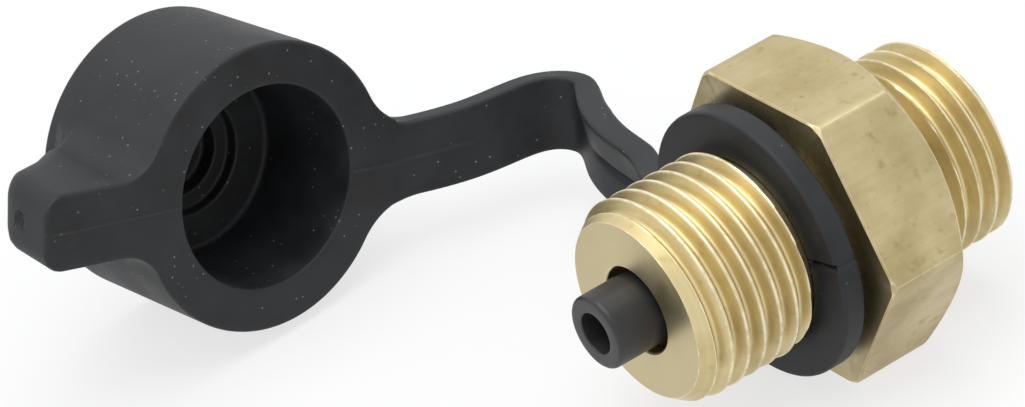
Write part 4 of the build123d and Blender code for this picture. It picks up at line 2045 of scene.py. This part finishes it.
    def gusset(self, start: tuple[float, float, float], way: np.ndarray) -> list[tuple[float, float, float]]:
        """Rows down the tab's sloping back, which runs into the cup's wall in a wide fillet.

        Args:
            start: Last point of the tab's side.
            way: Direction from the cup's axis to where the rows reach the wall.

        Returns:
            Points in the cup's frame.
        """
        outer = np.array(start[:2])
        foot = way * self.wall_radius(-self.gusset_end)
        rows = []
        for share in np.sin(np.linspace(0, math.pi / 2, self.gusset_rows)):
            place = outer + (foot - outer) * share
            short = max(self.tab_back_fillet - float(np.linalg.norm(place)) + self.cup_radius, 0.0)
            drop = self.tab_back_fillet - math.sqrt(max(self.tab_back_fillet**2 - short**2, 0.0))
            rise = self.tab_rise * (self.tab_reach - place[0]) / (self.tab_reach - self.cup_radius)
            rows.append((place[0], place[1], max(-self.tab_depth - rise - drop, -self.gusset_end)))
        return rows

    def dimple(self, grid: np.ndarray) -> None:
        """Presses the gate's oval dimple into the middle of the tab's end.

        Args:
            grid: The cup's grid, changed in place.
        """
        at_tip = grid[:, :, 0] > self.tab_reach - 1.0
        (middle, height), (half_width, half_height) = self.dimple_at, self.dimple_halves
        across = (grid[:, :, 1] - middle) / half_width
        down = (grid[:, :, 2] - height) / half_height
        away = np.sqrt(across**2 + down**2)
        ring = np.clip(1 - np.abs(away - 1.05) / 0.35, 0, 1)
        bowl = np.clip((1 - away) / 0.5, 0, 1)
        smooth = bowl * bowl * (3 - 2 * bowl)
        grid[:, :, 0] += at_tip * (self.dimple_lip * ring - self.dimple_depth * smooth)

    def route(self, start: Vector, start_way: Vector, end: Vector, end_way: Vector) -> bpy.types.Object:
        """Smooth line of the strap, from the ring's root to the cup's root.

        Args:
            start: Where it leaves the ring, in millimetres.
            start_way: Its direction there.
            end: Where it reaches the cup.
            end_way: Its direction there.

        Returns:
            A curve object in metres, which is taken away once the strap is laid.
        """
        places = [start, start + start_way * self.lead_out]
        places += [self.beside(*point) for point in self.line]
        places += [end - end_way * self.lead_out, end]
        data = bpy.data.curves.new("strap_line", "CURVE")
        data.dimensions = "3D"
        data.resolution_u = 200
        spline = data.splines.new("NURBS")
        spline.points.add(len(places) - 1)
        for spot, place in zip(spline.points, places):
            spot.co = (*(place * MM), 1.0)
        spline.order_u = 4
        spline.use_endpoint_u = True
        line = new_object("strap_line", data)
        return line

    def strip(self, length: float) -> np.ndarray:
        """The strap laid flat: its section at each station, with its gutter and parting line.

        Args:
            length: Length along the route, in millimetres.

        Returns:
            Grid of stations by section points: place along, across and height.
        """
        ring_arm, cup_arm = self.ring_arm(), self.cup_arm()
        rows = self.edge_rows(self.thickness, self.edge)
        stations = []
        for share in np.linspace(0, 1, self.stations + 1):
            along = share * length
            from_cup = length - along
            ring_half = ring_arm.half_width(self.ring_cut + along)
            half = max(ring_half, cup_arm.half_width(self.strap_cut + from_cup))
            across = self.across(half)
            front = [(a, 0.0) for a in across[1:-1]]
            upper = [(half - inset, height) for inset, height in rows]
            back = [(a, -self.thickness) for a in across[-2:0:-1]]
            lower = [(-half + inset, height) for inset, height in rows[::-1]]
            section = np.array(front + upper + back + lower)
            # thicker in the bend, from 3 to 20 mm past the ring
            swell = self.ramp(along, 3.0, 7.0) * self.ramp(along, 20.0, 15.0)
            section[:, 1] *= 1 + self.bend_swell * swell
            grown = self.ramp(along, 0.5, 3.5)
            grown = grown * grown * (3 - 2 * grown)
            fading = self.ramp(from_cup, 0.0, self.gutter_fade)
            curl = np.sqrt((section[:, 0] / half) ** 2 + 0.002) - 0.5
            lift = self.gutter * grown * fading * curl
            crease = self.crease * grown * self.ramp(along, self.bend_at + 2, self.bend_at - 2)
            ridge = self.ridge * self.ramp(from_cup, 19.5, 4.5)
            line = self.parting(section[:, 0], ridge) - self.parting(section[:, 0] / 2, crease)
            lift = lift + line * (section[:, 1] > -self.front_skin)
            points = np.empty((len(section), 3))
            points[:, 0] = along
            points[:, 1] = section[:, 0]
            points[:, 2] = section[:, 1] + lift
            stations.append(points)
        return np.array(stations)

    def strap(self, skin: Skin) -> None:
        """The strap, laid from the ring's open end to the cup's.

        Args:
            skin: Skin that it goes to.
        """
        ring, cap = self.ring_matrix(), self.cap_matrix()
        half = self.thickness / 2
        start = ring @ Vector((self.ring_cut, 0, -half))
        end = cap @ Vector((-self.strap_cut, 0, -half))
        start_way, end_way = ring.to_3x3().col[0], cap.to_3x3().col[0]
        line = self.route(start, start_way, end, end_way)
        length = self.route_length(line)
        LOG.info("strap line: %.2f mm", length)
        flat = Skin()
        flat.add_grid(self.strip(length).transpose(1, 0, 2))
        start_mesh = bpy.data.meshes.new("strip")
        start_mesh.from_pydata((np.concatenate(flat.points) * MM).tolist(), [], flat.faces)
        recipe = StrapRecipe(
            "strap", CAP_RUBBER, line, length, self.thickness, ring.to_3x3().col[1], cap.to_3x3().col[1]
        )
        skin.add_mesh(recipe.run(start_mesh))
        bpy.data.objects.remove(line)

    def route_length(self, line: bpy.types.Object) -> float:
        """Length of a curve object's line.

        Args:
            line: The curve object.

        Returns:
            Its length in millimetres.
        """
        mesh = evaluated_mesh(line)
        places = np.array([v.co for v in mesh.vertices]) / MM
        bpy.data.meshes.remove(mesh)
        return float(np.linalg.norm(np.diff(places, axis=0), axis=1).sum())

    def build(self) -> None:
        """Welds ring, strap and cup into one piece."""
        skin = Skin()
        self.ring(skin)
        self.strap(skin)
        self.cup(skin)
        mesh = weighted(skin.mesh("dust_cap_moulding", seam=0.04))
        place_piece(mesh, "dust_cap_moulding", Body.CAP, Slot.CAP, CAP_RUBBER, ["dust_cap"])


# ---------------------------------------------------------------- studio


@dataclass
class Studio:
    """Camera, soft lamps, and a white floor and surround that keep the object's shadow."""

    target: tuple[float, float, float] = (18.1, -18.4, 0.0)
    distance: float = 374.6
    azimuth: float = 58.6
    elevation: float = 31.8
    roll: float = -11.0
    lens: float = 179.43
    surround: float = 0.62
    floor_reach: float = 3.0
    floor_gap: float = 0.00002
    floor_white: float = 0.72

    def camera(self) -> None:
        """Camera at a three-quarter view of the test end, tipped to one side."""
        turn, rise = math.radians(self.azimuth), math.radians(self.elevation)
        back = Vector((math.cos(turn) * math.cos(rise), math.sin(turn) * math.cos(rise), math.sin(rise)))
        level = Vector((-math.sin(turn), math.cos(turn), 0))
        upright = back.cross(level)
        lean = math.radians(self.roll)
        right = level * math.cos(lean) + upright * math.sin(lean)
        up = back.cross(right)
        data = bpy.data.cameras.new("camera")
        data.lens = self.lens
        data.sensor_width = 36.0
        data.clip_start = 0.01
        data.clip_end = 20.0
        camera = new_object("camera", data)
        place = Vector(self.target) * MM + back * (self.distance * MM)
        camera.matrix_world = Matrix.Translation(place) @ Matrix([right, up, back]).transposed().to_4x4()
        bpy.context.scene.camera = camera

    def lamp(
        self, name: str, place: tuple[float, float, float], size: float, power: float, tint: str
    ) -> None:
        """One square soft box that faces the object.

        Args:
            name: Its name.
            place: Its centre, in metres.
            size: Its side, in metres.
            power: Its power, in watts.
            tint: Its colour.
        """
        data = bpy.data.lights.new(name, "AREA")
        data.shape = "SQUARE"
        data.size = size
        data.energy = power
        data.color = colour(tint)[:3]
        lamp = new_object(name, data)
        lamp.location = place
        aim = Vector(self.target) * MM - Vector(place)
        lamp.rotation_mode = "QUATERNION"
        lamp.rotation_quaternion = aim.to_track_quat("-Z", "Y")

    def seen(self, tree: bpy.types.NodeTree) -> bpy.types.Node:
        """1 for what the camera sees directly or in a reflection, as one node.

        Args:
            tree: Tree that the node goes into.

        Returns:
            A node whose first output is 1 or 0.
        """
        path = add_node(tree, "ShaderNodeLightPath")
        mirror = add_node(
            tree,
            "ShaderNodeMath",
            {0: path.outputs["Is Glossy Ray"], 1: path.outputs["Is Transmission Ray"]},
            operation="MAXIMUM",
        )
        direct = path.outputs["Is Camera Ray"]
        return add_node(tree, "ShaderNodeMath", {0: direct, 1: mirror}, operation="MAXIMUM")

    def world(self) -> None:
        """White surround, dimmer where it lights the object."""
        world = bpy.data.worlds.new("surround")
        tree = fresh_tree(world)
        tint = colour("#F4F6F8")
        light = add_node(tree, "ShaderNodeBackground", {"Color": tint, "Strength": self.surround})
        white = add_node(tree, "ShaderNodeBackground", {"Color": (1, 1, 1, 1), "Strength": 1.0})
        mix = add_node(tree, "ShaderNodeMixShader", {0: self.seen(tree), 1: light, 2: white})
        add_node(tree, "ShaderNodeOutputWorld", {"Surface": mix})
        bpy.context.scene.world = world

    def floor(self) -> None:
        """Plain pale floor under the object."""
        low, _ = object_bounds()
        reach, height = self.floor_reach, low.z - self.floor_gap
        mesh = bpy.data.meshes.new("floor")
        corners = [(-reach, -reach), (reach, -reach), (reach, reach), (-reach, reach)]
        mesh.from_pydata([(x, y, height) for x, y in corners], [], [(0, 1, 2, 3)])
        material = bpy.data.materials.new("pale_floor")
        tree = fresh_tree(material)
        matt = add_node(tree, "ShaderNodeBsdfDiffuse", {"Color": colour("#F2F2F2")})
        white = add_node(tree, "ShaderNodeEmission", {"Color": (1, 1, 1, 1), "Strength": 1.0})
        whiteness = {0: self.seen(tree), 1: self.floor_white}
        share = add_node(tree, "ShaderNodeMath", whiteness, operation="MULTIPLY")
        mix = add_node(tree, "ShaderNodeMixShader", {0: share, 1: matt, 2: white})
        add_node(tree, "ShaderNodeOutputMaterial", {"Surface": mix})
        mesh.materials.append(material)
        floor = new_object("floor", mesh)
        floor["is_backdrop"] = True

    def build(self) -> None:
        """Sets the whole studio up."""
        self.camera()
        self.world()
        self.floor()
        self.lamp("overhead", (0.08, -0.02, 0.75), 0.7, 4.0, "#FCFDFF")
        self.lamp("left", (0.62, -0.15, 0.45), 0.5, 0.7, "#FFFBF4")
        bpy.context.scene.view_settings.view_transform = "Standard"


# ---------------------------------------------------------------- scene


def main() -> None:
    """Builds the object and its studio in order."""
    logging.basicConfig(level=logging.INFO, format="%(name)s %(message)s")
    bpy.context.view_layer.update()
    ValveBody().build()
    ValveInsert().build()
    DustCap().build()
    Studio().build()


if __name__ == "__main__":
    main()
